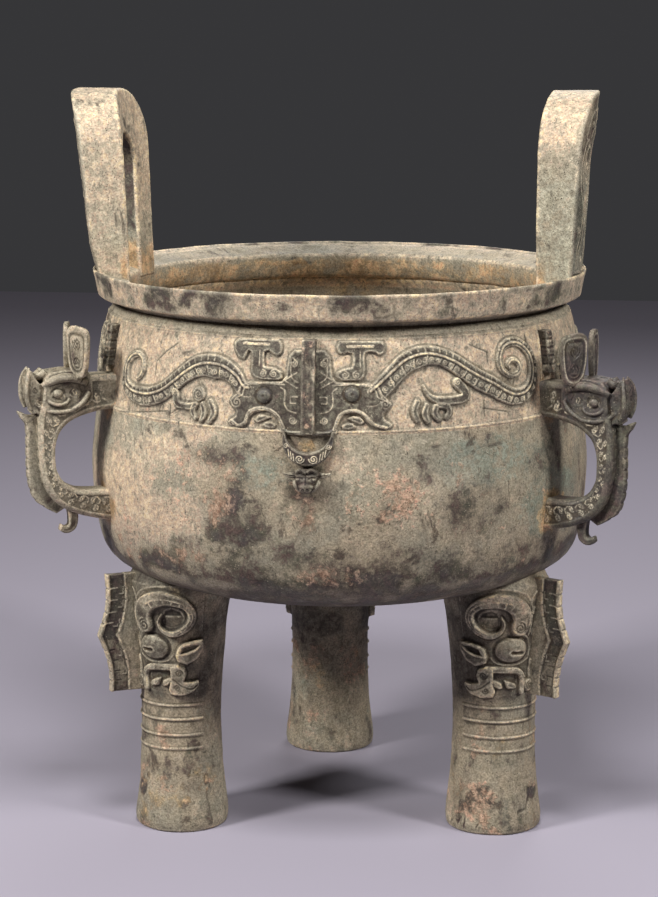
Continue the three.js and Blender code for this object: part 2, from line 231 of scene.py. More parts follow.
def finish_mesh(name, V, F, attrs, smooth=True):
    """V in millimetres about the vessel's axis. Turns the faces out and adds the colour guides."""
    V = np.asarray(V, float)
    F4 = [f for f in F]
    P = V.copy()
    P[:, 0] += AXIS_X
    P[:, 1] += AXIS_Y
    mesh = bpy.data.meshes.new(name)
    mesh.from_pydata((P / 1000).tolist(), [], F4)
    mesh.update()
    mesh.calc_loop_triangles()
    tri = np.empty(len(mesh.loop_triangles) * 3, np.int32)
    mesh.loop_triangles.foreach_get("vertices", tri)
    T = P[tri.reshape(-1, 3)] / 1000
    vol = np.einsum("ij,ij->i", T[:, 0], np.cross(T[:, 1], T[:, 2])).sum()
    if vol < 0:
        mesh.flip_normals()
    mesh.polygons.foreach_set("use_smooth", np.full(len(mesh.polygons), smooth))
    # curvature guide: how far each point stands above its neighbours
    n = len(V)
    N = np.empty(n * 3)
    mesh.vertices.foreach_get("normal", N)
    N = N.reshape(-1, 3)
    E = np.empty(len(mesh.edges) * 2, np.int32)
    mesh.edges.foreach_get("vertices", E)
    E = E.reshape(-1, 2)
    cnt = np.bincount(E.ravel(), minlength=n).clip(1)[:, None]

    def average(A):
        out = np.zeros_like(A)
        for k in range(A.shape[1]):
            out[:, k] = np.bincount(E[:, 0], A[E[:, 1], k], n) + np.bincount(E[:, 1], A[E[:, 0], k], n)
        return out / cnt
    Q = average(average(average(P)))
    c = np.einsum("ij,ij->i", P - Q, N)[:, None]
    c = 0.5 * c + 0.5 * average(c)
    size = np.linalg.norm(P[E[:, 0]] - P[E[:, 1]], axis=1).mean()
    attrs = dict(attrs)
    attrs["curv"] = np.clip(c[:, 0] / (0.22 * size), -1, 1)
    for key in ("line", "dark", "pit", "red", "ochre", "green", "pale", "grey"):
        data = np.asarray(attrs.get(key, 0.0), float)
        data = np.full(n, float(data)) if data.ndim == 0 else data.ravel()
        a = mesh.attributes.new(key, "FLOAT", "POINT")
        a.data.foreach_set("value", data.astype(np.float32))
    a = mesh.attributes.new("curv", "FLOAT", "POINT")
    a.data.foreach_set("value", attrs["curv"].astype(np.float32))
    obj = bpy.data.objects.new(name, mesh)
    bpy.context.scene.collection.objects.link(obj)
    keep = [r for k, r in KEEP.items() if name.startswith(k)]
    if keep:
        # thin out the flat parts of the mesh, and leave the relief
        mod = obj.modifiers.new("thin", "DECIMATE")
        mod.ratio = keep[0]
        thinned = bpy.data.meshes.new_from_object(obj.evaluated_get(bpy.context.evaluated_depsgraph_get()))
        obj.modifiers.clear()
        obj.data = thinned
        bpy.data.meshes.remove(mesh)
        thinned.name = name
    ALL.append(obj)
    return obj


def grid_faces(rows, cols, wrap_r=False, wrap_c=False):
    i = np.arange(rows if wrap_r else rows - 1)[:, None]
    j = np.arange(cols if wrap_c else cols - 1)[None, :]
    i2, j2 = (i + 1) % rows, (j + 1) % cols
    return np.stack([(i * cols + j).ravel(), (i * cols + j2).ravel(), (i2 * cols + j2).ravel(), (i2 * cols + j).ravel()], 1)


def shell(name, V, attrs, wrap_r=False, wrap_c=False, cap_r=False, cap_c=False, smooth=True):
    """V is rows by columns by 3. Open ends may be capped by one flat face each."""
    rows, cols = V.shape[:2]
    F = grid_faces(rows, cols, wrap_r, wrap_c).tolist()
    if cap_c:      # first and last column
        F.append([i * cols for i in range(rows)][::1])
        F.append([i * cols + cols - 1 for i in range(rows)][::-1])
    if cap_r:      # first and last row
        F.append(list(range(cols))[::-1])
        F.append([(rows - 1) * cols + j for j in range(cols)])
    return finish_mesh(name, V.reshape(-1, 3), F, attrs, smooth)


def poled(name, V, attrs):
    """Rows run from pole to pole, and the columns close on themselves."""
    rows, cols = V.shape[:2]
    body = V[1:-1].reshape(-1, 3)
    n = len(body)
    F = grid_faces(rows - 2, cols, False, True).tolist()
    top, end = n, n + 1
    for j in range(cols):
        k = (j + 1) % cols
        F.append([top, k, j])
        F.append([end, (rows - 3) * cols + j, (rows - 3) * cols + k])
    out = {}
    for key, a in attrs.items():
        a = np.asarray(a, float)
        out[key] = a if a.ndim == 0 else np.concatenate([a[1:-1].ravel(), [a[0].mean(), a[-1].mean()]])
    return finish_mesh(name, np.vstack([body, V[0].mean(0), V[-1].mean(0)]), F, out)


def polar(r, deg, z):
    a = np.radians(deg)
    return np.stack([r * np.cos(a), r * np.sin(a), z + 0 * a], -1)


def in_plane(azimuth, r, side, z):
    a = math.radians(azimuth)
    return np.stack([r * math.cos(a) - side * math.sin(a), r * math.sin(a) + side * math.cos(a), z + 0 * r], -1)


# --------------------------------------------------------------- the outline
BELLY = spline([(0.5, 379.5), (120, 380.5), (220, 387), (300, 404), (350, 420.5), (379, 434.5), (399, 453), (410.5, 484),
                (418, 530), (421.7, 578), (421.5, 612), (417, 655), (411.5, 700), (406.5, 750), (401, 797), (395.5, 833), (389, 853), (381, 868)], spacing=1.5)
SIDE = BELLY[BELLY[:, 1] > 425]
FLOOR = BELLY[BELLY[:, 0] < 404]


def belly_r(z):
    return np.interp(z, SIDE[:, 1], SIDE[:, 0])


def under_z(r):
    low = FLOOR[FLOOR[:, 1] < 470]
    return np.interp(r, low[:, 0], low[:, 1])


def uneven(P):
    """The slight waviness of a big casting, the same wherever two pieces meet."""
    return 0.9 * noise(P, 140, 3) + 0.35 * noise(P, 34, 5)


def angle_gap(deg, other):
    return (deg - other + 180) % 360 - 180


# soft regions of staining on the bowl, by azimuth and height, with painted shade and painted highlight among them
def bowl_stains_and_painted_light(deg, z, P, top=False):
    n1, n2 = noise(P, 60, 21, 3), noise(P, 22, 23, 3)

    def blob(a, zz, wa, wz, soft=0.45):
        q = np.sqrt((angle_gap(deg, a) / wa) ** 2 + ((z - zz) / wz) ** 2) + 0.55 * n1 + 0.35 * n2
        return 1 - step(1 - soft, 1 + soft, q)
    red = np.maximum.reduce([blob(243, 606, 10, 56), blob(250, 642, 6, 22), blob(285, 598, 10, 60), blob(269, 598, 4, 44), blob(236, 495, 10, 24), blob(221, 500, 7, 34),
                             0.9 * blob(275, 480, 8, 16), 0.7 * blob(299, 560, 7, 30), 0.6 * blob(325, 590, 9, 30),
                             0.8 * blob(40, 590, 20, 60), 0.8 * blob(160, 610, 18, 55), 0.6 * blob(100, 560, 20, 40), 0.35 * step(0.0, 0.5, noise(P, 80, 25, 2)) * (z < 705)])
    ochre = np.zeros_like(deg, dtype=float)
    for a in HANDLES:
        ochre = np.maximum(ochre, 0.8 * blob(a, 545, 6, 36))
        ochre = np.maximum(ochre, 0.8 * blob(a, 733, 6, 40))
    green = np.maximum.reduce([0.8 * blob(210, 655, 5, 30), 0.7 * blob(229, 690, 9, 20), 0.7 * blob(259, 640, 8, 40), 0.75 * blob(310, 650, 18, 46), 0.7 * blob(332, 560, 16, 70),
                               0.5 * step(0.0, 0.5, -n1) * (z < 700)])
    # the last term, darker towards the bottom below about 548 mm, is painted shade on the belly's underside
    dark = np.maximum.reduce([0.95 * blob(255, 560, 8, 80), 0.8 * blob(250, 665, 7, 22), 0.8 * blob(269, 625, 5, 40), 0.7 * blob(245, 505, 10, 24), 0.7 * blob(265, 500, 8, 40),
                              0.8 * blob(308, 575, 10, 50), 0.6 * blob(297, 650, 7, 30), 0.6 * blob(329, 640, 7, 50), 0.5 * blob(287, 510, 12, 40),
                              0.7 * blob(20, 600, 12, 70), 0.7 * blob(130, 600, 14, 60), 1.0 * step(548, 462, z)])
    # the dark spots each side of every bull's head are painted shadow in the gaps behind its horns; the ochre patch
    # between them is the belly's colour
    for a in FRONTS:
        g = angle_gap(deg, a)
        for o in (-3.7, 3.7):
            dark = np.maximum(dark, np.exp(-((g - o) / 1.1) ** 4 - ((z - 692) / 11) ** 4))
        ochre = np.maximum(ochre, 0.6 * np.exp(-(g / 2.2) ** 4 - ((z - 688) / 14) ** 4))
    # pale cream patches; the strong ones on the left of the belly, azimuth 215 to 238, face the key lamp and are
    # partly painted highlight
    pale = np.maximum.reduce([1.0 * blob(217, 560, 20, 80), 0.55 * blob(215, 660, 20, 60), 0.9 * blob(234, 545, 15, 60), 0.8 * blob(238, 670, 14, 40), 0.6 * blob(277, 660, 6, 34), 0.5 * blob(297, 600, 12, 60),
                              0.5 * blob(60, 620, 22, 90), 0.5 * blob(120, 640, 16, 60)])
    # ragged, cloudy edges rather than clean patches
    n3, n4 = noise(P, 30, 27, 3), noise(P * np.array([1, 1, 0.6]), 46, 29, 3)
    wash = step(500, 560, z) * step(712, 690, z)
    dark = np.maximum(dark * (0.55 + 0.55 * step(-0.35, 0.35, n3)), 0.62 * wash * step(0.05, 0.50, n4) * (1 - 0.6 * pale))
    red = np.maximum(red * (0.45 + 0.55 * step(-0.3, 0.3, n4)), 0.45 * wash * step(0.1, 0.5, -n3))
    return dict(red=0.85 * red, ochre=ochre, green=green, dark=dark.clip(0, 1), pale=pale)


# -------------------------------------------------- hoops: swept rounded bars
def template(na, nb, nc=3):
    """Corner points of a rounded rectangle: fractions of its width and depth, offsets in radii, and which side."""
    rows = []
    def side(n, f):
        for k in range(1, n):
            rows.append(f(k / n))
    def arc(c, a0):
        for k in range(nc + 1):
            phi = math.radians(a0 + 90 * k / nc)
            rows.append((c[0], (-1 if c[0] else 1) + math.cos(phi), c[1], (-1 if c[1] else 1) + math.sin(phi), -1))
    side(na, lambda f: (f, 1 - 2 * f, 0, 0, 0))          # front
    arc((1, 0), -90)
    side(nb, lambda f: (1, 0, f, 1 - 2 * f, 1))          # inner edge
    arc((1, 1), 0)
    side(na, lambda f: (1 - f, 2 * f - 1, 1, 0, 2))      # back
    arc((0, 1), 90)
    side(nb, lambda f: (0, 0, 1 - f, 2 * f - 1, 3))      # outer edge
    arc((0, 0), 180)
    return np.array(rows)


def hoop(name, O, I, D, rc, mapping, faces=None, na=24, nb=16, nc=3, attrs=None, wave=0.6):
    """Bar between two edge lines O and I, of depth D, with reliefs on its four faces."""
    n = len(O)
    D = np.broadcast_to(np.asarray(D, float), (n,))[:, None]
    rc = np.broadcast_to(np.asarray(rc, float), (n,))[:, None]
    T = template(na, nb, nc)
    W = np.linalg.norm(I - O, axis=1)[:, None]
    rr = np.minimum(rc, 0.49 * np.minimum(W, D))
    X = T[None, :, 0] * W + T[None, :, 1] * rr
    Y = T[None, :, 2] * D + T[None, :, 3] * rr
    M = 0.5 * (O + I)
    U = np.concatenate([[0], np.cumsum(np.linalg.norm(np.diff(M, axis=0), axis=1))])[:, None] + 0 * X
    dirn = ((I - O) / W)[:, None, :]
    P2 = O[:, None, :] + dirn * X[..., None]
    out = {k: np.zeros(X.shape) for k in ("line", "dark", "pit", "red", "ochre", "green", "pale", "grey")}
    dx, dy = np.zeros(X.shape), np.zeros(X.shape)
    for key, kind in (("front", 0), ("inner", 1), ("back", 2), ("outer", 3)):
        fn = (faces or {}).get(key)
        if fn is None:
            continue
        cols = np.nonzero(T[:, 4] == kind)[0]
        c = fn(P2[:, cols, 0], P2[:, cols, 1], U[:, cols], X[:, cols] if kind in (0, 2) else Y[:, cols], W if kind in (0, 2) else D)
        h = c.get("h")
        if kind == 0:
            dy[:, cols] -= h
        elif kind == 2:
            dy[:, cols] += h
        elif kind == 1:
            dx[:, cols] += h
        else:
            dx[:, cols] -= h
        for k in ("line", "dark", "pit"):
            out[k][:, cols] = c.get(k)
    P2 = P2 + dirn * dx[..., None]
    V = mapping(P2[..., 0], P2[..., 1], (Y + dy) / D)
    if wave:
        # slight unevenness of the casting
        C = V.mean(1, keepdims=True)
        N = V - C
        N /= np.linalg.norm(N, axis=2, keepdims=True).clip(1e-6)
        V = V + N * (wave * (0.7 * noise(V, 45, 9) + 0.5 * noise(V, 14, 11)))[..., None]
    if attrs:
        for k, a in attrs(V, P2[..., 0], P2[..., 1], T).items():
            out[k] = np.maximum(out[k], a)
    return shell(name, V, out, wrap_c=True, cap_r=True)


def solids_join(shapes):
    V, F, n = [], [], 0
    for v, f in shapes:
        V.append(np.asarray(v, float))
        F += [[i + n for i in face] for face in f]
        n += len(v)
    return np.vstack(V), F


def prism(outline, half, side=0.0, taper=0.0):
    """Outline in radius and height, standing across by half the thickness each way."""
    P = np.asarray(outline, float)
    m = len(P)
    V = np.vstack([np.c_[P[:, 0], np.full(m, side - half), P[:, 1]], np.c_[P[:, 0], np.full(m, side + half), P[:, 1]]])
    F = [list(range(m))[::-1], list(range(m, 2 * m))] + [[i, (i + 1) % m, m + (i + 1) % m, m + i] for i in range(m)]
    return V, F


def ball(c, r, turn=0.0, n=16):
    V, F = [], []
    for i in range(1, n):
        for j in range(2 * n):
            a, b = math.pi * i / n, math.pi * j / n
            V.append((r[0] * math.sin(a) * math.cos(b), r[1] * math.sin(a) * math.sin(b), r[2] * math.cos(a)))
    top, end = len(V), len(V) + 1
    V += [(0, 0, r[2]), (0, 0, -r[2])]
    w = 2 * n
    for j in range(w):
        k = (j + 1) % w
        F.append([top, j, k])
        F.append([end, (n - 2) * w + k, (n - 2) * w + j])
        for i in range(n - 2):
            F.append([i * w + j, (i + 1) * w + j, (i + 1) * w + k, i * w + k])
    V = np.array(V)
    a = math.radians(turn)
    V = np.c_[V[:, 0] * math.cos(a) - V[:, 2] * math.sin(a), V[:, 1], V[:, 0] * math.sin(a) + V[:, 2] * math.cos(a)]
    return V + np.asarray(c, float), F


def tube(points, radii, n=14, flat=1.0):
    """Rounded bar through points in space."""
    P = spline(points, spacing=2.5)
    R = np.interp(np.linspace(0, 1, len(P)), np.linspace(0, 1, len(radii)), radii)
    T = np.gradient(P, axis=0)
    T /= np.linalg.norm(T, axis=1)[:, None]
    V = []
    up = np.array([0.13, 0.97, 0.21])
    for p, r, t in zip(P, R, T):
        a = np.cross(t, up)
        a /= np.linalg.norm(a)
        b = np.cross(t, a)
        for k in range(n):
            phi = 2 * math.pi * k / n
            V.append(p + r * (math.cos(phi) * a + flat * math.sin(phi) * b))
    m = len(P)
    F = grid_faces(m, n, False, True).tolist() + [list(range(n)), list(range((m - 1) * n, m * n))[::-1]]
    return np.array(V), F


def fuse(shapes, voxel, smooth=3, keep=1.0):
    """One closed skin round several overlapping solids. Works in millimetres."""
    V, F = solids_join(shapes)
    mesh = bpy.data.meshes.new("fuse")
    mesh.from_pydata((V / 1000).tolist(), [], F)
    mesh.update()
    import bmesh
    bm = bmesh.new()
    bm.from_mesh(mesh)
    bmesh.ops.recalc_face_normals(bm, faces=bm.faces)
    bm.to_mesh(mesh)
    bm.free()
    obj = bpy.data.objects.new("fuse", mesh)
    bpy.context.scene.collection.objects.link(obj)
    mod = obj.modifiers.new("skin", "REMESH")
    mod.mode = "VOXEL"
    mod.voxel_size = voxel / 1000
    ev = obj.evaluated_get(bpy.context.evaluated_depsgraph_get())
    done = ev.to_mesh()
    n = len(done.vertices)
    co = np.empty(n * 3)
    done.vertices.foreach_get("co", co)
    co = co.reshape(-1, 3) * 1000
    faces = [list(p.vertices) for p in done.polygons]
    E = np.empty(len(done.edges) * 2, np.int32)
    done.edges.foreach_get("vertices", E)
    E = E.reshape(-1, 2)
    ev.to_mesh_clear()
    bpy.data.objects.remove(obj)
    bpy.data.meshes.remove(mesh)
    cnt = np.bincount(E.ravel(), minlength=n).clip(1)[:, None]

    def relax(A, k):
        out = np.stack([np.bincount(E[:, 0], A[E[:, 1], c], n) + np.bincount(E[:, 1], A[E[:, 0], c], n) for c in range(3)], 1) / cnt
        return A + k * (out - A)
    for _ in range(smooth):
        co = relax(relax(co, 0.6), -0.5)
    return co, faces, E


def vertex_normals(V, F):
    N = np.zeros_like(V)
    F = np.array([f[:4] if len(f) > 3 else f + [f[2]] for f in F])
    n = np.cross(V[F[:, 2]] - V[F[:, 0]], V[F[:, 3]] - V[F[:, 1]])
    for k in range(4):
        np.add.at(N, F[:, k], n)
    return N / np.linalg.norm(N, axis=1)[:, None].clip(1e-9)


# ------------------------------------------------------------------- the bowl
def build_bowl():
    low = spline(FLOOR[::4], spacing=11)
    side = SIDE[(SIDE[:, 0] > 0) & (SIDE[:, 1] < 712)]
    low = low[(low[:, 1] < 452) & (low[:, 0] < 397)]
    side = side[(side[:, 1] > 456)]
    side = spline(side[::2], spacing=3.9)
    top = np.array([[belly_r(z) - 1.5, z] for z in (716, 740, 770, 800, 830, 850)] + [[381.0, 868.0]])
    outer = np.vstack([low, side, top])
    T = np.gradient(BELLY, axis=0)
    T /= np.linalg.norm(T, axis=1)[:, None]
    inner = BELLY - 11.0 * np.c_[T[:, 1], -T[:, 0]]
    inner[:, 0] = inner[:, 0].clip(0.3)
    inner = inner[inner[:, 1] < 866][::-1]
    inner = spline(inner[::3], spacing=13)
    prof = np.vstack([outer, inner])
    cols = 560
    deg = np.arange(cols) * 360.0 / cols
    R, Z = prof[:, :1] + 0 * deg, prof[:, 1:] + 0 * deg
    A = deg[None, :] + 0 * R
    V = polar(R, A, Z)
    kind = (np.arange(len(prof)) < len(outer))[:, None] & (Z < 714)
    V = polar(R + np.where(kind & (Z > 430), uneven(V), 0.5 * noise(V, 60, 8)), A, Z)
    st = bowl_stains_and_painted_light(A, Z, V)
    inside = ~(np.arange(len(prof)) < len(outer))[:, None] & np.ones_like(R, bool)
    attrs = {k: np.where(inside, 0.0, v) for k, v in st.items()}
    attrs["pale"] = np.where(inside, 0.85, attrs["pale"])
    # the dark band on the outside from 848 to 862 mm is the rim's shadow on the neck, painted
    attrs["dark"] = np.where(inside, attrs["dark"], np.maximum(attrs["dark"], 0.85 * step(848, 862, Z)))
    attrs["ochre"] = np.maximum(attrs["ochre"], np.where(inside, 0.32 + 0.55 * noise(V, 90, 41, 3), 0.0)).clip(0, 1)
    attrs["green"] = np.maximum(attrs["green"], np.where(inside, 0.35 - 0.5 * noise(V, 110, 43, 3), 0.0)).clip(0, 1)
    return poled("bowl", V, attrs)


def build_rim():
    loop = np.array([(374, 861), (380, 863.5), (384, 869.5), (391, 874), (400, 876), (407.5, 878), (411, 881.5), (413, 891), (415.6, 905), (418.5, 916),
                     (419.3, 920), (417, 922), (411, 918.6), (398, 915.2), (380, 910.0), (366, 906.2), (361.2, 904.0), (359.6, 899), (360.5, 882), (364, 866), (370, 860)])
    loop[:, 0] -= 3.0 * step(372, 384, loop[:, 0]) + 2.0 * step(380, 366, loop[:, 0]) * step(875, 885, loop[:, 1])
    loop = spline(np.vstack([loop, loop[:1]]), spacing=2.1)[:-1]
    cols = 900
    deg = np.arange(cols) * 360.0 / cols
    R, Z = loop[:, :1] + 0 * deg, loop[:, 1:] + 0 * deg
    A = deg[None, :] + 0 * R
    P = polar(R, A, Z)
    c = np.array([392.0, 893.0])
    nx, nz = R - c[0], Z - c[1]
    L = np.hypot(nx, nz)
    w = 0.8 * noise(P, 70, 2) + 0.5 * noise(P, 22, 4) + 0.25 * noise(P, 8, 6)
    R2, Z2 = R + w * nx / L, Z + w * nz / L
    # dents and worn nicks in the lip's upper edge
    nick = step(0.55, 0.9, noise(P, 26, 31, 2)) * np.exp(-((Z - 920) / 5) ** 2)
    Z2 = Z2 - 2.2 * nick
    out = step(402, 412, R) * step(872, 882, Z)
    d1 = step(0.02, 0.42, noise(P, 74, 51, 3))
    seam = 0.0
    dark = (0.95 * out * step(-0.16, 0.42, noise(P, 74, 51, 3) + 0.5 * noise(P, 18, 55, 3)) + 0.3 * step(0.0, 0.5, noise(P, 30, 53, 3)) * (1 - out)).clip(0, 1)
    # the pale term peaking at azimuth 222, the side the key lamp faces, is a painted highlight; the rest of pale is
    # the rim's cream patina
    return shell("rim", polar(R2, A, Z2), dict(dark=dark, pale=(0.66 - 0.30 * (R < 400) + 0.4 * noise(P, 90, 59, 2) + 0.3 * np.exp(-(angle_gap(A, 222) / 24) ** 2)).clip(0, 1), grey=0.22 * (R < 400) * step(893, 903, Z), ochre=(0.55 + 0.5 * noise(P, 60, 57, 3)).clip(0, 1) * step(904, 890, Z) * (R < 374), green=0.45 * (R < 374) * step(0.0, 0.5, noise(P, 44, 58, 2)) * step(904, 894, Z)), wrap_r=True, wrap_c=True)


# ---------------------------------------------------------- band of dragons
LEFT = [(13.6, 768), (14.9, 771), (16.7, 786.6), (20, 800), (23.9, 803), (27, 798), (30, 786), (33.4, 768), (36.8, 751.5), (40.7, 741.5), (44.5, 739),
        (48, 741), (50.7, 750), (51.4, 766), (51.2, 781), (49.5, 796), (47.1, 802), (44.9, 797), (44.1, 782), (44.9, 768), (46.2, 762)]
RIGHT = [(13.5, 766), (15.54, 778.5), (18.6, 798.4), (21.7, 815.5), (25.7, 823), (29.3, 819.4), (32.9, 809), (36.2, 794.4), (39.7, 779.5), (43.3, 766.7),
         (46.6, 752.6), (49.7, 744), (53, 746), (55.4, 760), (56.2, 783.6), (55.4, 805.5), (52.8, 823), (50.1, 829), (47, 824), (45.6, 807), (46, 789),
         (48, 777.5), (50.1, 775), (51.7, 782), (51.3, 795), (49.4, 801), (47.9, 795), (48.4, 788)]
LEFT, RIGHT = ([(a_, 708 + (b_ - 700.5) * 0.966) for a_, b_ in path_] for path_ in (LEFT, RIGHT))
HIGH = 4.2


def dragon(c, sg, spine, up, low, D):
    mm = lambda pts: np.array([(sg * p[0] * DEG, p[1]) for p in pts], float)
    path = spline(mm(spine), spacing=1.6)
    up, low = np.asarray(up, float), np.asarray(low, float)
    idx, d, u, v, L = c.near(path, max(up.max(), low.max()) + 4)
    f = u / L
    wu = np.interp(f, np.linspace(0, 1, len(up)), up)
    wl = np.interp(f, np.linspace(0, 1, len(low)), low)
    above = v * sg > 0
    inside = np.where(above, wu, wl) - d
    head_cut = step(-2, 3, (c.s[idx] * sg) - 12.6 * DEG)
    c.h[idx] = np.maximum(c.h[idx], HIGH * step(0, 2.4, inside) * head_cut)
    k = np.exp(-((inside - 1.6) / 0.9) ** 2) * head_cut
    c.h[idx] += 0.8 * k
    c.line[idx] = np.maximum(c.line[idx], k)
    # broad pale ridge between the two strips, with a groove each side
    k = np.exp(-(d / 1.9) ** 4) * head_cut
    g = np.exp(-((d - 3.3) / 0.8) ** 2) * head_cut * (inside > 2)
    c.h[idx] += 1.2 * k - 0.8 * g
    c.line[idx] = np.maximum(c.line[idx], k)
    c.pit[idx] = np.maximum(c.pit[idx], 0.5 * g)
    # the upper strip: raised bars across
    m = above & (d > 3.4) & (inside > 2.4)
    ph = ((u / 11.5) % 1 - 0.5 + 0.02 * d) * 11.5
    k = np.exp(-(ph / 0.85) ** 2) * m
    c.h[idx] += 0.8 * k
    c.line[idx] = np.maximum(c.line[idx], k)
    # the lower strip: a chain of rounded cells with a pair of scrolls in each
    N = np.gradient(path, axis=0)
    N /= np.linalg.norm(N, axis=1)[:, None]
    N = np.c_[-N[:, 1], N[:, 0]] * sg
    at = np.linspace(0, L, len(path))
    cell = 25.0
    m = (~above) & (d > 3.4) & (inside > 2.4)
    ph = (((u + 0.30 * d) / cell) % 1 - 0.5) * cell
    k = np.exp(-(ph / 1.0) ** 2) * m
    c.h[idx] += 0.9 * k
    c.line[idx] = np.maximum(c.line[idx], k)
    k = np.exp(-((np.abs(ph) - 3.4) / 0.8) ** 2) * m
    c.h[idx] -= 0.5 * k
    for j in range(int(L * 0.97 / cell)):
        for q, way in ((0.77, 1), (1.23, -1)):
            uc = (j + q) * cell
            fr = uc / L
            w = np.interp(fr, np.linspace(0, 1, len(low)), low)
            if w < 9 or fr > 0.97:
                continue
            p = np.array([np.interp(uc, at, path[:, 0]), np.interp(uc, at, path[:, 1])])
            nrm = np.array([np.interp(uc, at, N[:, 0]), np.interp(uc, at, N[:, 1])])
            r = min(0.36 * (w - 4), 5.2)
            ctr = p - nrm * (w * 0.53)
            if abs(ctr[0]) < 16 * DEG:
                continue
            ang = math.degrees(math.atan2(nrm[1], nrm[0]))
            c.thread(spiral(ctr[0], ctr[1], r, 1.5, ang + way * 150, -way), 1.0, 0.8)
    # leg, spur and claws
    c.strip(spline(mm(D["leg"]), spacing=1.6), D["legw"], HIGH, border=True)
    for cl in D["claws"]:
        c.strip(spline(mm(cl), spacing=1.6), [5.4, 6.0, 5.8, 4.2], HIGH + 0.4, edge=2.0, border=True)
    if D.get("curl"):
        t = D["curl"]
        c.area(np.c_[sg * t[0] * DEG + t[2] * np.cos(np.arange(24) / 24 * 6.2832), t[1] + t[2] * np.sin(np.arange(24) / 24 * 6.2832)], HIGH, border=True)
        c.thread(spiral(sg * t[0] * DEG, t[1], t[2] - 4.2, 1.6, 90, sg), 1.0, 0.9)
    t = mm([D["leg"][0]])[0]
    c.thread(spiral(t[0], t[1] + 1, 5.0, 1.4, 90, sg), 1.0, 0.85)
    # ---- the head, with its brow standing up beside the flange
    c.area(mm([(0.5, 835), (3.5, 834), (4.7, 825), (5.0, 808), (5.2, 794), (6.2, 785.5), (13.5, 783.5), (15.5, 777), (16.2, 766), (17.4, 758), (18.3, 750), (17.5, 743),
               (16.4, 736), (16.6, 728), (18.4, 719), (17.8, 712), (16, 712), (14.2, 718), (13.2, 728), (12.0, 734.5), (9.7, 738), (7.8, 735), (6.9, 727), (6.4, 716),
               (6.2, 705), (5, 702), (0.5, 702)]), HIGH - 0.2, edge=2.4, border=True)
    c.strip(spline(mm(D["mouth"]), spacing=1.5), [3.4, 3.6, 3.8, 3.8, 3.6, 3.4], HIGH + 1.3, edge=2.2, border=True)
    c.thread(spiral(sg * D["jaw"][0] * DEG, D["jaw"][1], 9.0, 1.7, 90 - 60 * sg, -sg), 1.1, 1.0)
    c.thread(spline(mm([(13.4, 778), (14.6, 771), (15.0, 762), (16.4, 757)]), spacing=1.5), 1.0, 0.9)
    c.thread(spline(mm([(5.4, 780.5), (9.5, 781.5), (13.2, 779)]), spacing=1.5), 1.0, 0.9)
    # teeth, pale leaves inside the mouth
    c.area(mm([(8.1, 729), (9.6, 733.5), (11.2, 732.5), (12.3, 724), (11.4, 718.5), (9.8, 723)]), HIGH - 1.0, edge=2.0, border=True)
    c.area(mm([(7.0, 718), (8.2, 723), (9.6, 722), (10.6, 715), (8.8, 711.5), (7.4, 712)]), HIGH - 1.4, edge=2.0, border=True)
    # brow panel and the nose beside the flange
    c.thread(spiral(sg * 3.3 * DEG, 813, 5.6, 1.6, 90, sg), 1.1, 0.9)
    c.thread(spline(mm([(3.2, 820), (3.9, 822), (4.1, 814), (4.0, 800), (3.6, 790), (2.4, 784)]), spacing=1.5), 1.0, 0.85)
    c.thread(line_points(mm([(2.6, 800), (5.4, 787), (2.6, 776)]), 1.5), 1.0, 0.85)
    c.thread(spline(mm([(6.2, 776), (5.2, 770), (5.3, 752), (4.4, 741), (2.6, 737)]), spacing=1.5), 1.1, 0.95)
    c.thread(line_points(mm([(2.4, 762), (4.0, 762), (4.0, 752), (2.8, 752)]), 1.5), 1.0, 0.85)
    c.thread(spiral(sg * 3.4 * DEG, 726, 6.0, 1.7, 180 if sg > 0 else 0, sg), 1.1, 0.9)
    c.strip(spline(mm([(5.6, 712), (3.4, 706.5), (1.2, 704.5)]), spacing=1.5), 3.6, HIGH + 1.6, edge=2.4, dark=1.0, border=False)
    # plume: a slotted bar with drooping ends, on a stem and a scrolled base
    c.area(mm(D["plume"]), HIGH, border=True)
    sl = D["slot"]
    c.strip(mm([(sl[0], sl[2]), (sl[1], sl[2])]), 2.3, HIGH + 0.9, edge=1.2, border=False)
    idx, d, *_ = c.near(mm([(sl[0], sl[2]), (sl[1], sl[2])]), 5)
    c.line[idx] = np.maximum(c.line[idx], step(2.6, 1.8, d))
    c.pit[idx] = np.maximum(c.pit[idx], 0.6 * np.exp(-((d - 3.2) / 0.8) ** 2))
    c.thread(spline(mm([(11.3, 832), (11.2, 818), (11.3, 808)]), spacing=1.5), 0.9, 0.8)
    for a, way in ((10.4, 1), (7.9, -1)):
        c.thread(spiral(sg * a * DEG, 796.5, 6.0, 1.6, 90, way * sg), 1.1, 0.9)
    for t in D["tlines"]:
        c.thread(line_points(mm([(a, 708 + (b - 700.5) * 0.966) for a, b in t]), 1.5), -1.0, 1.0)
    e = mm([D["eye"]])[0]
    c.dome(e[0], e[1], 12.2, 12.2, 7.4, base=HIGH - 1.0, power=0.55, pupil=2.0, dark=1.0)


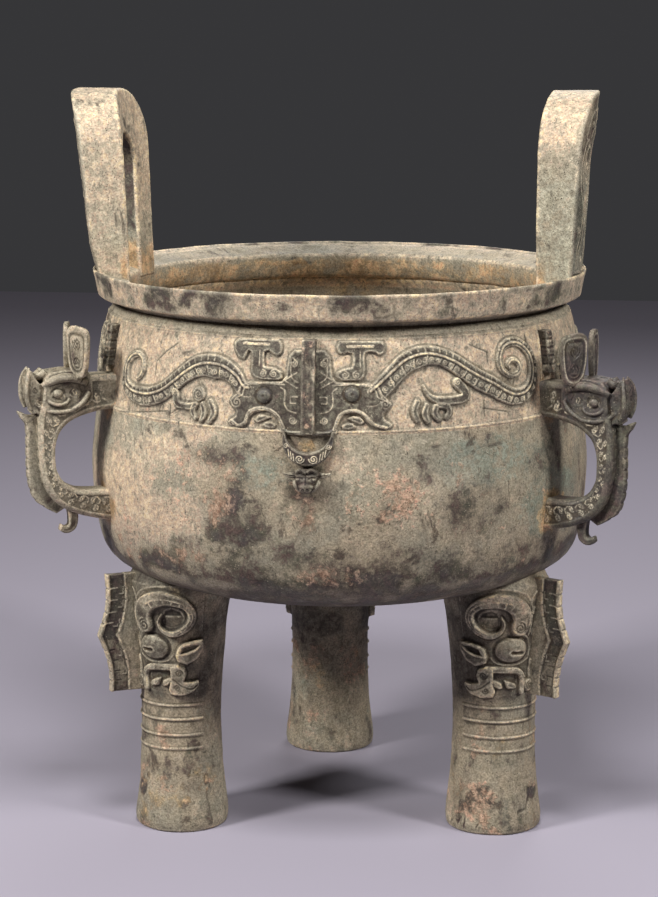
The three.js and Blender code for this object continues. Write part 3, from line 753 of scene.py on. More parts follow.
def draw_band(c, detail=True):
    dragon(c, -1, LEFT, [6, 11, 14.7, 14.7, 13, 12, 11, 11, 9, 8, 7, 6, 5], [16, 18, 25, 20, 17, 18, 20, 21, 16, 10, 6, 5, 5], dict(
        eye=(10, 762), jaw=(16.3, 750), mouth=[(17.4, 721), (15.7, 714), (14.2, 719), (13.0, 737), (10, 742.5), (7.1, 734), (5.4, 714)],
        leg=[(32.7, 755), (32.1, 739), (29.8, 735.5), (28, 737), (26.6, 741)], legw=[7.5, 7, 6.5, 6, 5], curl=(26.0, 757, 12.5),
        claws=[[(26.8, 740), (27.4, 729), (26.6, 719)], [(24.9, 741), (24.4, 728), (25.1, 716)], [(22.9, 747), (21.9, 731), (23.0, 715)]],
        plume=[(7.0, 850), (16.6, 850), (17.8, 843), (17.6, 831), (16.4, 818), (15.0, 815), (14.4, 823), (14.0, 830), (13.4, 828), (13.3, 818), (13.4, 808),
               (13.4, 798), (12.5, 789), (10.6, 786), (7.2, 785.5), (5.8, 789), (5.9, 800), (7.5, 806), (10.0, 808), (10.3, 818), (10.2, 829), (9.3, 831),
               (8.4, 827), (7.1, 822), (6.2, 829), (6.1, 843)], slot=(9.3, 15.2, 841.5),
        tlines=[[(53.2, 698), (44, 707), (34.9, 716.6)], [(34.4, 703), (34.4, 727)], [(40.1, 772), (40, 795), (37, 813), (33.5, 829)]]))
    dragon(c, 1, RIGHT, [6, 10, 13, 13, 12, 11, 11, 10, 8, 7, 7, 6, 6, 5], [25, 22, 22, 16, 19, 22, 20, 16, 13, 10, 8, 6, 5, 5], dict(
        eye=(9.4, 767), jaw=(16.7, 751), mouth=[(16.8, 714), (14, 720), (12, 735), (9.7, 741.5), (6.9, 735), (5.6, 713)],
        leg=[(33.6, 778), (35.4, 764), (35.2, 754), (31.4, 751.5), (28.0, 755), (26.2, 765), (25.4, 777)], legw=[9, 8.5, 8, 7.5, 7, 5, 2.4],
        claws=[[(23.9, 752), (23.2, 738), (23.9, 723)], [(26.0, 745), (25.5, 733), (26.3, 720)], [(28.2, 743), (27.8, 733), (28.9, 723)], [(28.9, 746), (30.9, 742), (31.3, 733), (30.6, 725)]],
        plume=[(6.6, 849), (16.4, 848.5), (17.1, 841), (16.8, 829), (15.5, 825), (14.7, 829.5), (13.3, 831), (12.5, 829), (12.3, 820), (12.4, 812), (12.5, 804),
               (12.2, 793), (11.1, 787), (7.2, 787), (5.8, 793), (6.0, 801), (7.5, 806.5), (9.3, 809), (9.6, 820), (9.4, 828.5), (8.4, 830.5), (7.5, 827),
               (6.4, 829), (5.9, 839)], slot=(8.5, 14.2, 840.5),
        tlines=[[(40.5, 727), (47.2, 717)], [(40.6, 714), (40.6, 740)], [(37.6, 832), (42.5, 817)], [(42.3, 801), (42.3, 817)]]))
    # thin lines above and below the band
    for z in (708.0, 851.0):
        k = np.exp(-((c.z - z) / 1.2) ** 2)
        c.h += 1.7 * k
        c.line = np.maximum(c.line, 0.7 * k)


def build_band(front, res):
    lo, hi = 700.0, 854.5
    cols = int(120 * DEG / res)
    th = np.linspace(-60, 60, cols)
    zs = np.linspace(lo, hi, int((hi - lo) / res))
    Th, Z = np.meshgrid(th, zs)
    c = Canvas(Th * DEG, Z)
    draw_band(c)
    h = c.get("h")
    edge = step(lo, lo + 4, Z) * step(hi, hi - 4, Z)
    R = belly_r(Z)
    A = front + Th
    P = polar(R, A, Z)
    rough = 0.25 * noise(P, 9, 61) + 0.18 * noise(P, 4.5, 63)
    V = polar(R + uneven(P) + h + rough * (h > 1) - 1.6 * (1 - edge) + 0.25 * edge, A, Z)
    back = polar(np.array([[belly_r(hi) - 4.5], [belly_r(lo) - 4.5]]) + 0 * A[:2], A[:2], np.array([[hi], [lo]]) + 0 * A[:2])
    V = np.concatenate([V, back])
    pad = lambda a, v=0.0: np.concatenate([a, np.full((2, a.shape[1]), v)])
    st = bowl_stains_and_painted_light(A, Z, P)
    n1, n2 = noise(P, 42, 71, 3), noise(P, 17, 73, 3)
    relief = step(0.9, 2.4, h)
    ground = 1 - relief
    # near the top, above about 846 mm, the added dark, the grey and the loss of cream paint the rim's shadow on the
    # band
    dark = np.maximum.reduce([c.get("dark"), 0.55 * relief * step(0.0, 0.5, n1), 0.5 * ground * step(0.25, 0.6, n2), 0.5 * step(846, 853, Z) * step(-0.2, 0.4, n2)])
    red = 0.45 * ground * step(0.2, 0.6, noise(P, 30, 75, 3))
    grey = np.maximum(relief * (0.85 + 0.3 * n2), 0.5 * step(849, 853, Z)).clip(0, 1)
    pale = ground * (0.8 + 0.3 * n1) * step(853, 849, Z)
    return shell("band_%d" % front, V, dict(line=pad(c.get("line")), pit=pad(c.get("pit")), dark=pad(dark), red=pad(red), ochre=pad(0.6 * st["ochre"]), pale=pad(pale),
                                            grey=pad(grey)), wrap_r=True, cap_c=True)


# -------------------------------------------------------------------- flanges
def flange_piece(name, azimuth, z0, z1, half, out, notches, depth=3.0, top_light=False):
    zz = np.linspace(z0, z1, int((z1 - z0) / 1.5))
    O = np.c_[belly_r(zz) + out, zz]
    pitch = (z1 - z0) / notches
    k = np.abs(((zz - z0) / pitch + 0.5) % 1 - 0.5) * pitch
    cut = np.exp(-(k / 1.6) ** 2) * (zz > z0 + 3) * (zz < z1 - 3)
    O[:, 0] -= depth * cut
    I = np.c_[belly_r(zz) - 5, zz]

    def side(p0, p1, u, x, w):
        c = Canvas(x + 0 * u, p1)
        # lines cut in from the toothed edge, alternately long and short
        for j in range(1, notches):
            z = z0 + j * pitch
            c.thread(line_points([(1, z), (out * (0.75 if j % 2 else 0.55), z)], 1.5), -1.4 if depth else -0.5, 1.0)
        return c
    mapping = lambda p0, p1, f: in_plane(azimuth, p0, half - 2 * half * f, p1)
    face = lambda p0, p1, u, y, w: flange_front(p0, p1, y, w, z0, z1, pitch, notches)
    zones = lambda V, p0, p1, T: dict(dark=(0.72 - 0.72 * step(0.12, 0.42, noise(V, 12, 77, 3))).clip(0, 1), grey=(0.75 - 0.5 * step(0.2, 0.5, noise(V, 12, 77, 3))).clip(0, 1), red=0.35 + 0.0 * p0, pale=0.7 * step(0.30, 0.55, noise(V, 12, 77, 3)))
    return hoop(name, O, I, 2 * half, 2.2, mapping, dict(front=side, back=side, outer=face), na=14, nb=14, attrs=zones, wave=0.5)


def flange_front(p0, p1, y, w, z0, z1, pitch, notches):
    c = Canvas(y + 0 * p1, p1)
    c.h -= 0.0
    return c


# ----------------------------------------------------------------------- legs
LEG_PROFILE = np.array([[0, 78.6], [4, 79.6], [14, 80.8], [28, 79.8], [50, 77.3], [80, 74], [120, 71.3], [160, 70], [200, 70], [230, 70.8], [270, 73.5],
                        [310, 77], [345, 80], [380, 85], [405, 88], [420, 88], [435, 82], [455, 70]])
_leg = spline(LEG_PROFILE[:, ::-1], spacing=1.5)
_order = np.argsort(_leg[:, 1])


def leg_r(z):
    return np.interp(z, _leg[_order, 1], _leg[_order, 0])


MM = math.radians(1) * 82.0        # millimetres per degree round a leg


def draw_leg(c):
    """The mask: across in millimetres from the flange, mirrored, and up."""
    mm = lambda pts: np.array([(p[0] * MM,) + tuple(p[1:]) for p in pts], float)
    for z, h in ((213, 1.0), (189, 1.1), (162, 0.9), (139, 0.75)):
        m = np.abs(c.s) < 104 * MM
        k = np.exp(-((c.z - z - 0.012 * np.abs(c.s)) / 1.7) ** 2) * m
        g = np.exp(-((c.z - z + 3.6) / 1.6) ** 2) * m
        c.h += (2.4 * k - 0.5 * g) * h
        c.line = np.maximum(c.line, 0.75 * k * h)
        c.pit = np.maximum(c.pit, 0.45 * g)
    for sg in (1, -1):
        mir = lambda P: np.c_[sg * P[:, 0], P[:, 1:]]
        # the whole half of the mask stands a little above the leg
        c.area(mir(mm([(-4, 232), (20, 234), (56, 228), (90, 234), (98, 262), (100, 300), (98, 350), (96, 392), (80, 414), (50, 424), (20, 424), (-4, 424)])), 1.2, edge=6)
        horn = mm([(27, 353, 16.5), (25, 367, 17), (29, 383, 16.5), (39, 395, 15.5), (52, 399.5, 14.5), (64, 397, 13), (74.5, 391, 11), (81.5, 380, 9.5), (83.5, 367, 8.5),
                   (80, 354, 8), (72, 344, 7.5), (62, 339, 7.2), (53.5, 342, 6.4), (47.5, 350, 5), (46, 361, 4), (49, 371, 2.6)])
        ctr = mir(spline(horn[:, :2], spacing=1.8))
        idx, d, u, v, L = c.near(ctr, 21)
        w = np.interp(u / L, np.linspace(0, 1, len(horn)), horn[:, 2])
        inside = w - d
        f = u / L
        c.lift(idx, 10.0 * step(0, 3.4, inside) + 1.0)
        k = np.exp(-((inside - 2.6) / 0.95) ** 2)
        c.h[idx] += 0.8 * k
        c.line[idx] = np.maximum(c.line[idx], k)
        # outer band smooth and pale, inner band of dark vertebrae, with a line between
        vv = v * sg
        fade = step(0.10, 0.2, f) * step(0.86, 0.74, f)
        k = np.exp(-((vv + 0.5) / 1.0) ** 2) * (inside > 3) * fade
        c.h[idx] += 0.8 * k
        c.line[idx] = np.maximum(c.line[idx], k)
        rib = np.exp(-((((u / 13.0) % 1) - 0.5) * 13.0 / 1.0) ** 2) * (vv < -1) * (inside > 3) * fade
        c.h[idx] += 0.7 * rib
        c.line[idx] = np.maximum(c.line[idx], rib)
        c.dark[idx] = np.maximum(c.dark[idx], 0.7 * (vv < -1) * (inside > 3.4) * fade * (1 - rib))
        sc = np.exp(-(((((u - 2.2 * vv) / 19.0) % 1) - 0.5) * 19.0 / 0.9) ** 2) * (vv > 1) * (inside > 4) * fade
        c.h[idx] -= 0.9 * sc
        c.pit[idx] = np.maximum(c.pit[idx], 0.7 * sc)
        # base disc with a spiral, the outer line of the horn, and the hollow inside the curl
        c.thread(spiral(sg * 28 * MM, 352, 9.5, 1.9, 90, sg), -1.5, 1.1)
        c.thread(spiral(sg * 28 * MM, 352, 12.5, 0.96, 90, sg), 1.0, 1.0)
        c.area(mir(mm([(51, 352), (60, 348), (72, 353), (75, 366), (71, 378), (60, 383), (52, 378), (50, 366)])), 3.6, edge=4.0, sink=True)
        c.thread(mir(spline(mm([(11.5, 336), (8.5, 352), (9, 372), (12.5, 392), (22, 408), (38, 417), (54, 419)]), spacing=1.8)), 1.6, 1.1, 0.8)
        # eye: a broad dome with a level slot, in an outlined socket
        c.dome(sg * 35 * MM, 314, 30, 21.5, 10.5, base=1.4, power=0.62)
        c.thread(mir(spline(mm([(9.5, 300), (9, 318), (14, 333), (24, 340)]), spacing=1.8)), 1.6, 1.1, 0.8)
        c.thread(mir(spline(mm([(10, 297), (24, 289), (40, 288), (54, 292), (61, 301)]), spacing=1.8)), 1.4, 1.1, 0.8)
        idx, d, *_ = c.near(mir(mm([(22.6, 308.8), (35.5, 310.6)])), 10)
        k = step(3.2, 1.6, d)
        c.h[idx] -= 3.6 * k
        c.pit[idx] = np.maximum(c.pit[idx], k)
        # a pale line just under the slot, without relief: a painted highlight on the slot's lower lip
        idx, d, *_ = c.near(mir(mm([(23.0, 304.6), (35.5, 306.2)])), 10)
        c.line[idx] = np.maximum(c.line[idx], 0.8 * np.exp(-(d / 1.2) ** 2))
        # ear: a cupped leaf
        c.area(mir(mm([(63.5, 302), (67, 317), (74, 324), (84, 327.5), (98, 330), (98, 312), (91, 295), (78, 285), (66, 291)])), 12.5, edge=3.0, border=True)
        c.area(mir(mm([(69, 305), (73, 318), (85, 322.5), (93, 321), (88, 312), (79, 306)])), 6.0, edge=4.0, sink=True)
        c.thread(mir(spline(mm([(69, 304), (78, 305.5), (87, 311.5), (94, 320)]), spacing=1.6)), 1.4, 1.0)
        # upper jaw: a squared frame round the mouth, with two fangs
        c.strip(mir(spline(mm([(20, 241), (19.5, 256), (21, 270), (27, 277.5), (38, 280), (52, 281), (66, 281.5)]), spacing=1.8)), [5.4, 5.6, 6, 6.2, 6, 6], 8.2, edge=2.4)
        c.area(mir(mm([(26.5, 262), (28, 271), (44, 274), (60, 275), (60, 264), (44, 256), (30, 250)])), 2.4, edge=2.5, sink=True)
        m = mir(mm([(26.5, 262), (28, 271), (44, 274), (60, 275), (60, 264), (44, 256), (30, 250)]))
        idx, d, *_ = c.near(np.vstack([m, m[:1]]), 3)
        c.area(mir(mm([(26.5, 249), (29, 256), (36, 260.5), (44.5, 263.5), (43, 256), (40, 248.5), (32, 246)])), 6.6, edge=2.2, border=True)
        c.area(mir(mm([(44.5, 249), (47, 258), (53, 262), (61, 264.5), (59, 257), (56, 251), (50, 247)])), 6.6, edge=2.2, border=True)
        # cheek lobe that ends in a hooked lower jaw
        c.area(mir(mm([(56.5, 284), (68, 286), (77, 281), (79, 270), (76, 259), (84, 257), (95, 259), (94, 248), (86, 237), (72, 231), (57, 233), (54, 243), (57, 258)])), 10.5, edge=3.0, border=True)
        c.thread(spiral(sg * 68.5 * MM, 272, 6.4, 1.7, 0, sg), -1.5, 1.0)
        c.thread(spiral(sg * 66 * MM, 246, 5.6, 1.5, 180, -sg), -1.4, 1.0)
        c.thread(mir(spline(mm([(61, 262), (72, 250), (84, 245), (91, 251)]), spacing=1.8)), -1.5, 1.0)
        # nostril disc beside the flange
        c.dome(sg * 8.6 * MM, 250, 10.5, 11, 5.0, base=3.5, power=0.4)
        c.thread(spiral(sg * 8.6 * MM, 250, 7.2, 1.7, 90, -sg), -1.7, 1.1)
        c.strip(mir(spline(mm([(6, 262), (7, 276), (6, 292)]), spacing=1.8)), [3.5, 3.5, 3], 3.6, edge=2)
        # leaf and spiral over the brow, beside the flange
        c.strip(mir(spline(mm([(14, 374), (13.5, 388), (11, 402), (6, 410)]), spacing=1.8)), 2.2, 3.6, edge=1.6, border=False)
        c.thread(spiral(sg * 8.0 * MM, 377, 6.4, 1.7, 90, sg), 1.7, 1.1)
        c.area(mir(mm([(4.5, 330), (12, 342), (5, 352)])), 3.4, edge=2.2)
        c.thread(mir(line_points(mm([(5.6, 262), (6.2, 326)]), 1.8)), 1.4, 1.0, 0.7)
    c.dark[(c.h < 1.0) & (c.z > 250) & (c.z < 420) & (np.abs(c.s) < 98 * MM)] = 0.35


def build_leg(i, res):
    az, face = LEGS[i]
    c0 = np.array([302.0 * math.cos(math.radians(az)), 302.0 * math.sin(math.radians(az)), 0.0])
    front_n = int(234 * MM / res)
    psi = np.concatenate([np.linspace(-117, 117, front_n), np.linspace(117, 243, 40)[1:-1]])
    zs = np.concatenate([[0.0, 0.25, 1.0, 2.4], np.linspace(4, 128, int(70 if res < 1.8 else 45)), np.linspace(130, 452, int(322 / res))])
    Ps, Z = np.meshgrid(psi, zs)
    w = (Ps + 180) % 360 - 180
    c = Canvas(w * MM, Z)
    draw_leg(c)
    h = c.get("h")
    R = leg_r(Z) + (-3.2, -1.0, 0.0)[i] - np.array([2.6, 1.4, 0.6, 0.2] + [0] * (len(zs) - 4))[:, None]
    a = np.radians(face + Ps)
    P = np.stack([R * np.cos(a), R * np.sin(a), Z], -1) + c0
    rough = 1.0 * noise(P, 60, 81) + 0.5 * noise(P, 20, 83) + 0.22 * noise(P, 6, 85)
    low = step(128, 60, Z)
    # casting faults and cracks low on the foot
    crack = step(0.93, 0.99, 1 - np.abs(noise(P * np.array([1, 1, 0.35]), 30, 87, 3))) * low * step(4, 14, Z) * step(0.0, 0.3, noise(P, 48, 89))
    R2 = R + h + rough - 0.9 * crack
    V = np.stack([R2 * np.cos(a), R2 * np.sin(a), Z], -1) + c0
    # run the top of the leg into the thickness of the bowl's wall
    rho = np.hypot(V[..., 0], V[..., 1])
    top = np.where(rho < 404, under_z(rho) + 4.5, 470)
    V[..., 2] = np.minimum(V[..., 2], top)
    rho = np.hypot(V[..., 0], V[..., 1])
    lim = np.interp(V[..., 2], SIDE[:, 1], SIDE[:, 0]) - 3.5
    k = np.where((V[..., 2] > 440) & (rho > lim), lim / rho, 1.0)
    V[..., 0] *= k
    V[..., 1] *= k
    # close over the top, following the wall
    rings = []
    for f in (0.85, 0.6, 0.35, 0.12, 0.0):
        ring = V[-1].copy()
        ring[:, :2] = c0[:2] + (ring[:, :2] - c0[:2]) * f
        ring[:, 2] = under_z(np.hypot(ring[:, 0], ring[:, 1])) + 4.5
        rings.append(ring)
    bottom = V[0].copy()
    bottom[:, :2] = c0[:2]
    Vall = np.concatenate([bottom[None], V, np.array(rings)])
    pad = lambda a, v=0.0: np.concatenate([np.full((1, a.shape[1]), v), a, np.full((len(rings), a.shape[1]), v)])
    n1, n2 = noise(P, 50, 91, 3), noise(P * np.array([1, 1, 0.4]), 20, 93, 3)
    ground = 1 - step(1.0, 5.0, h)
    mask_zone = step(212, 232, Z)
    dark = (0.5 * ground * mask_zone * step(-0.25, 0.35, n1) + 0.75 * step(-0.15, 0.45, n2) * (1 - mask_zone) + 0.8 * crack).clip(0, 1)
    spot = np.exp(-((w - 5) / 16) ** 2 - ((Z - 66) / 16) ** 2 + 0.8 * n2)
    dark = np.maximum.reduce([0.8 * dark, step(0.35, 0.7, spot), c.get("dark")]).clip(0, 1)
    pale = mask_zone * step(3, 8, h) * 0.55 + (1 - mask_zone) * step(0.0, 0.5, n1) * 0.35
    red = (1 - mask_zone) * step(-0.05, 0.45, noise(P, 38, 97, 3)) * 0.75
    grey = (0.25 + 0.5 * mask_zone) * step(-0.5, 0.3, noise(P, 40, 99, 2))
    green = 0.5 * ground * step(0.1, 0.5, -n1) + 0.35 * step(0.2, 0.5, n2)
    return poled("leg_%d" % i, Vall, dict(line=pad(c.get("line")), pit=pad(c.get("pit")), dark=pad(dark), pale=pad(pale), green=pad(green), red=pad(red), grey=pad(grey),
                                          ochre=pad(0.3 * step(0.2, 0.6, noise(P, 70, 95, 2)))))


def build_leg_plate(i):
    az, face = LEGS[i]
    c0 = np.array([302.0 * math.cos(math.radians(az)), 302.0 * math.sin(math.radians(az)), 0.0])
    zz = np.linspace(234, 431.5, 150)
    r = np.interp(zz, [234, 329, 431.5], [125, 145, 131])
    r -= np.where(zz < 329, 7 * np.sin(np.pi * (zz - 234) / 95), 8 * np.sin(np.pi * (zz - 329) / 102.5))
    cuts = (252, 268, 286, 304, 350, 368, 388, 408)
    cut = sum(np.exp(-((zz - q) / 1.1) ** 2) for q in cuts)
    O = np.c_[r - 2.2 * cut, zz]
    I = np.c_[np.full(len(zz), 54.0), zz]

    def side(p0, p1, u, x, w):
        c = Canvas(x + 0 * u, p1)
        xx = (x + 0 * u).ravel()
        rim = step(5.5, 4.0, xx)
        panel = (1 - rim) * step(31, 29, xx)
        c.h -= 2.2 * panel
        c.line = np.maximum(c.line, rim * 0.75)
        c.dark = np.maximum(c.dark, panel * np.where(c.z > 322, 0.95, 0.55))
        for q in cuts:
            c.thread(line_points([(1, q), (16, q + 0.6)], 2), 1.1 if q > 340 else -1.2, 0.9)
        for q in (344, 376, 398, 262, 294):
            c.thread(line_points([(20, q), (27, q), (27, q + 12)], 2), 1.2, 0.9, 0.7)
        c.thread(line_points([(30.5, 240), (33, 322)], 2), 1.3, 1.1)
        c.thread(line_points([(33, 336), (30.5, 428)], 2), 1.3, 1.1)
        return c
    edge = lambda p0, p1, u, y, w: lift_line(Canvas(y + 0 * p1, p1))

    def mapping(p0, p1, f):
        return in_plane(face, p0, 7.5 - 15 * f, p1) + c0
    return hoop("leg_plate_%d" % i, O, I, 15, 2.4, mapping, dict(front=side, back=side, outer=edge), na=40, nb=9, wave=0.6)


def lift_line(c):
    c.line[:] = 0.75
    return c


# ----------------------------------------------------------------------- ears
EAR_FACES = {
    180: [(890, 408, 355), (921, 411, 356.5), (966, 421, 358.5), (1037, 429.5, 361.5), (1100, 436, 364.3), (1154, 441.5, 368), (1196, 447, 372), (1222, 453.5, 375.2)],
    0: [(890, 412, 352), (921, 414, 352), (1016, 420.5, 352), (1094, 424.5, 353), (1171, 430, 354), (1205, 432.5, 354.5), (1222, 436.2, 356)]}


def ear_r(z, lean):
    T = np.array(EAR_FACES[lean], float)
    return np.interp(z, T[:, 0], T[:, 1]), np.interp(z, T[:, 0], T[:, 2])


def build_ear(azimuth):
    lean = azimuth
    cO, cI = 1220 - 118.0, 1144 - 56.5
    leg_o = line_points([(-122, 893), (-122, cO)], 2.6)
    a = np.linspace(math.pi, 0, 150)
    bow = lambda q: np.sign(q) * np.abs(q) ** (2 / 2.6)
    O = np.vstack([leg_o, np.c_[122 * bow(np.cos(a)), cO + 118 * bow(np.sin(a))][1:-1], leg_o[::-1] * [-1, 1]])
    n = len(leg_o)
    leg_i = np.c_[np.full(n, -56.5), np.linspace(893, cI, n)]
    I = np.vstack([leg_i, np.c_[56.5 * np.cos(a), cI + 56.5 * np.sin(a)][1:-1], leg_i[::-1] * [-1, 1]])
    zm = 0.5 * (O[:, 1] + I[:, 1])
    ro, ri = ear_r(zm, lean)
    D = ro - ri

    def mapping(p0, p1, f):
        o, i = ear_r(p1, lean)
        r = o - f * (o - i)
        return polar(r, azimuth + np.degrees(p0 / 392.0), p1)

    def outer_face(p0, p1, u, x, w):
        c = Canvas(u, x * 61.5 / w)
        c.h -= 3.0 * (step(8.5, 11, c.z) * step(53, 50.5, c.z))
        L = u.max()
        # a dragon in profile each side, meeting at the top
        for sg in (1, -1):
            m = 0.5 * L
            pt = lambda q: np.array([(m - sg * (m - q[0] * m), q[1]) for q in q_list], float) if False else None
            body = [(0.12, 20), (0.2, 22), (0.27, 36), (0.35, 42), (0.43, 36), (0.5, 24), (0.58, 20), (0.66, 26), (0.72, 34)]
            P = np.array([(m - sg * (m - f * m), z) for f, z in body])
            c.strip(spline(P, spacing=2.0), [4, 6.5, 8, 8, 7.5, 7, 7, 7], 0.2, edge=2.2)
            c.thread(spline(P, spacing=2.0), -1.2, 1.0)
            c.area(np.array([(m - sg * (m - f * m), z) for f, z in [(0.72, 18), (0.84, 17), (0.95, 22), (0.95, 40), (0.88, 46), (0.78, 42), (0.72, 46), (0.70, 30)]]), 0.4, edge=2.4, border=True)
            c.dome(m - sg * (m - 0.83 * m), 32, 6.5, 6.5, 3.5, base=0.2, power=0.6)
            for f, z in ((0.16, 42), (0.3, 20), (0.45, 44), (0.62, 42), (0.54, 42)):
                c.thread(spiral(m - sg * (m - f * m), z, 6.5, 1.6, 90, sg), 1.3, 1.0)
        return c

    def edge_face(p0, p1, u, y, w):
        c = Canvas(u, y + 0 * u)
        return c

    def zones(V, p0, p1, T):
        z = V[..., 2]
        n1, n2 = noise(V, 55, 101 + azimuth, 3), noise(V * np.array([1, 1, 0.5]), 24, 103, 3)
        rr = np.hypot(V[..., 0], V[..., 1])
        o, i = ear_r(z, lean)
        f = (rr - i) / (o - i)
        if azimuth == 180:
            green = np.maximum(np.exp(-((z - 985) / 45) ** 2) * (0.55 + 0.5 * n1), 0.34 + 0.3 * n2)
            pale = 0.72 + 0.3 * n1 - 0.2 * step(1010, 960, z)
            dark = 0.25 * step(0.3, 0.7, n2)
        else:
            green = np.maximum(step(1130, 1060, z) * (0.6 + 0.5 * n1), 0.30 + 0.3 * n2)
            pale = 0.42 + 0.26 * step(1090, 1160, z) + 0.3 * n1
            dark = 0.4 * step(0.15, 0.6, n2)
        kind = T[None, :, 4] + 0 * z
        hole = (kind == 1).astype(float)
        outer = step(0.9, 0.985, f)
        dark = np.maximum(dark, 0.7 * outer * step(-0.3, 0.3, n1))
        # the upper lining of the hole, above about 985 mm, made dark and not pale: painted shade inside the opening
        dark = np.maximum(dark, hole * step(958, 985, z) * (0.9 + 0.3 * n2))
        pale = pale * (1 - hole)
        ochre = np.maximum(0.7 * step(980, 915, z) * step(0.4, 0.2, f), hole * step(975, 940, z) * 0.8)
        return dict(green=green.clip(0, 1), pale=(pale * (1 - outer)).clip(0, 1), dark=dark.clip(0, 1), ochre=ochre.clip(0, 1))
    return hoop("ear_%d" % azimuth, O, I, D, 4.5, mapping, dict(front=outer_face), na=34, nb=24, nc=4, attrs=zones, wave=1.1)


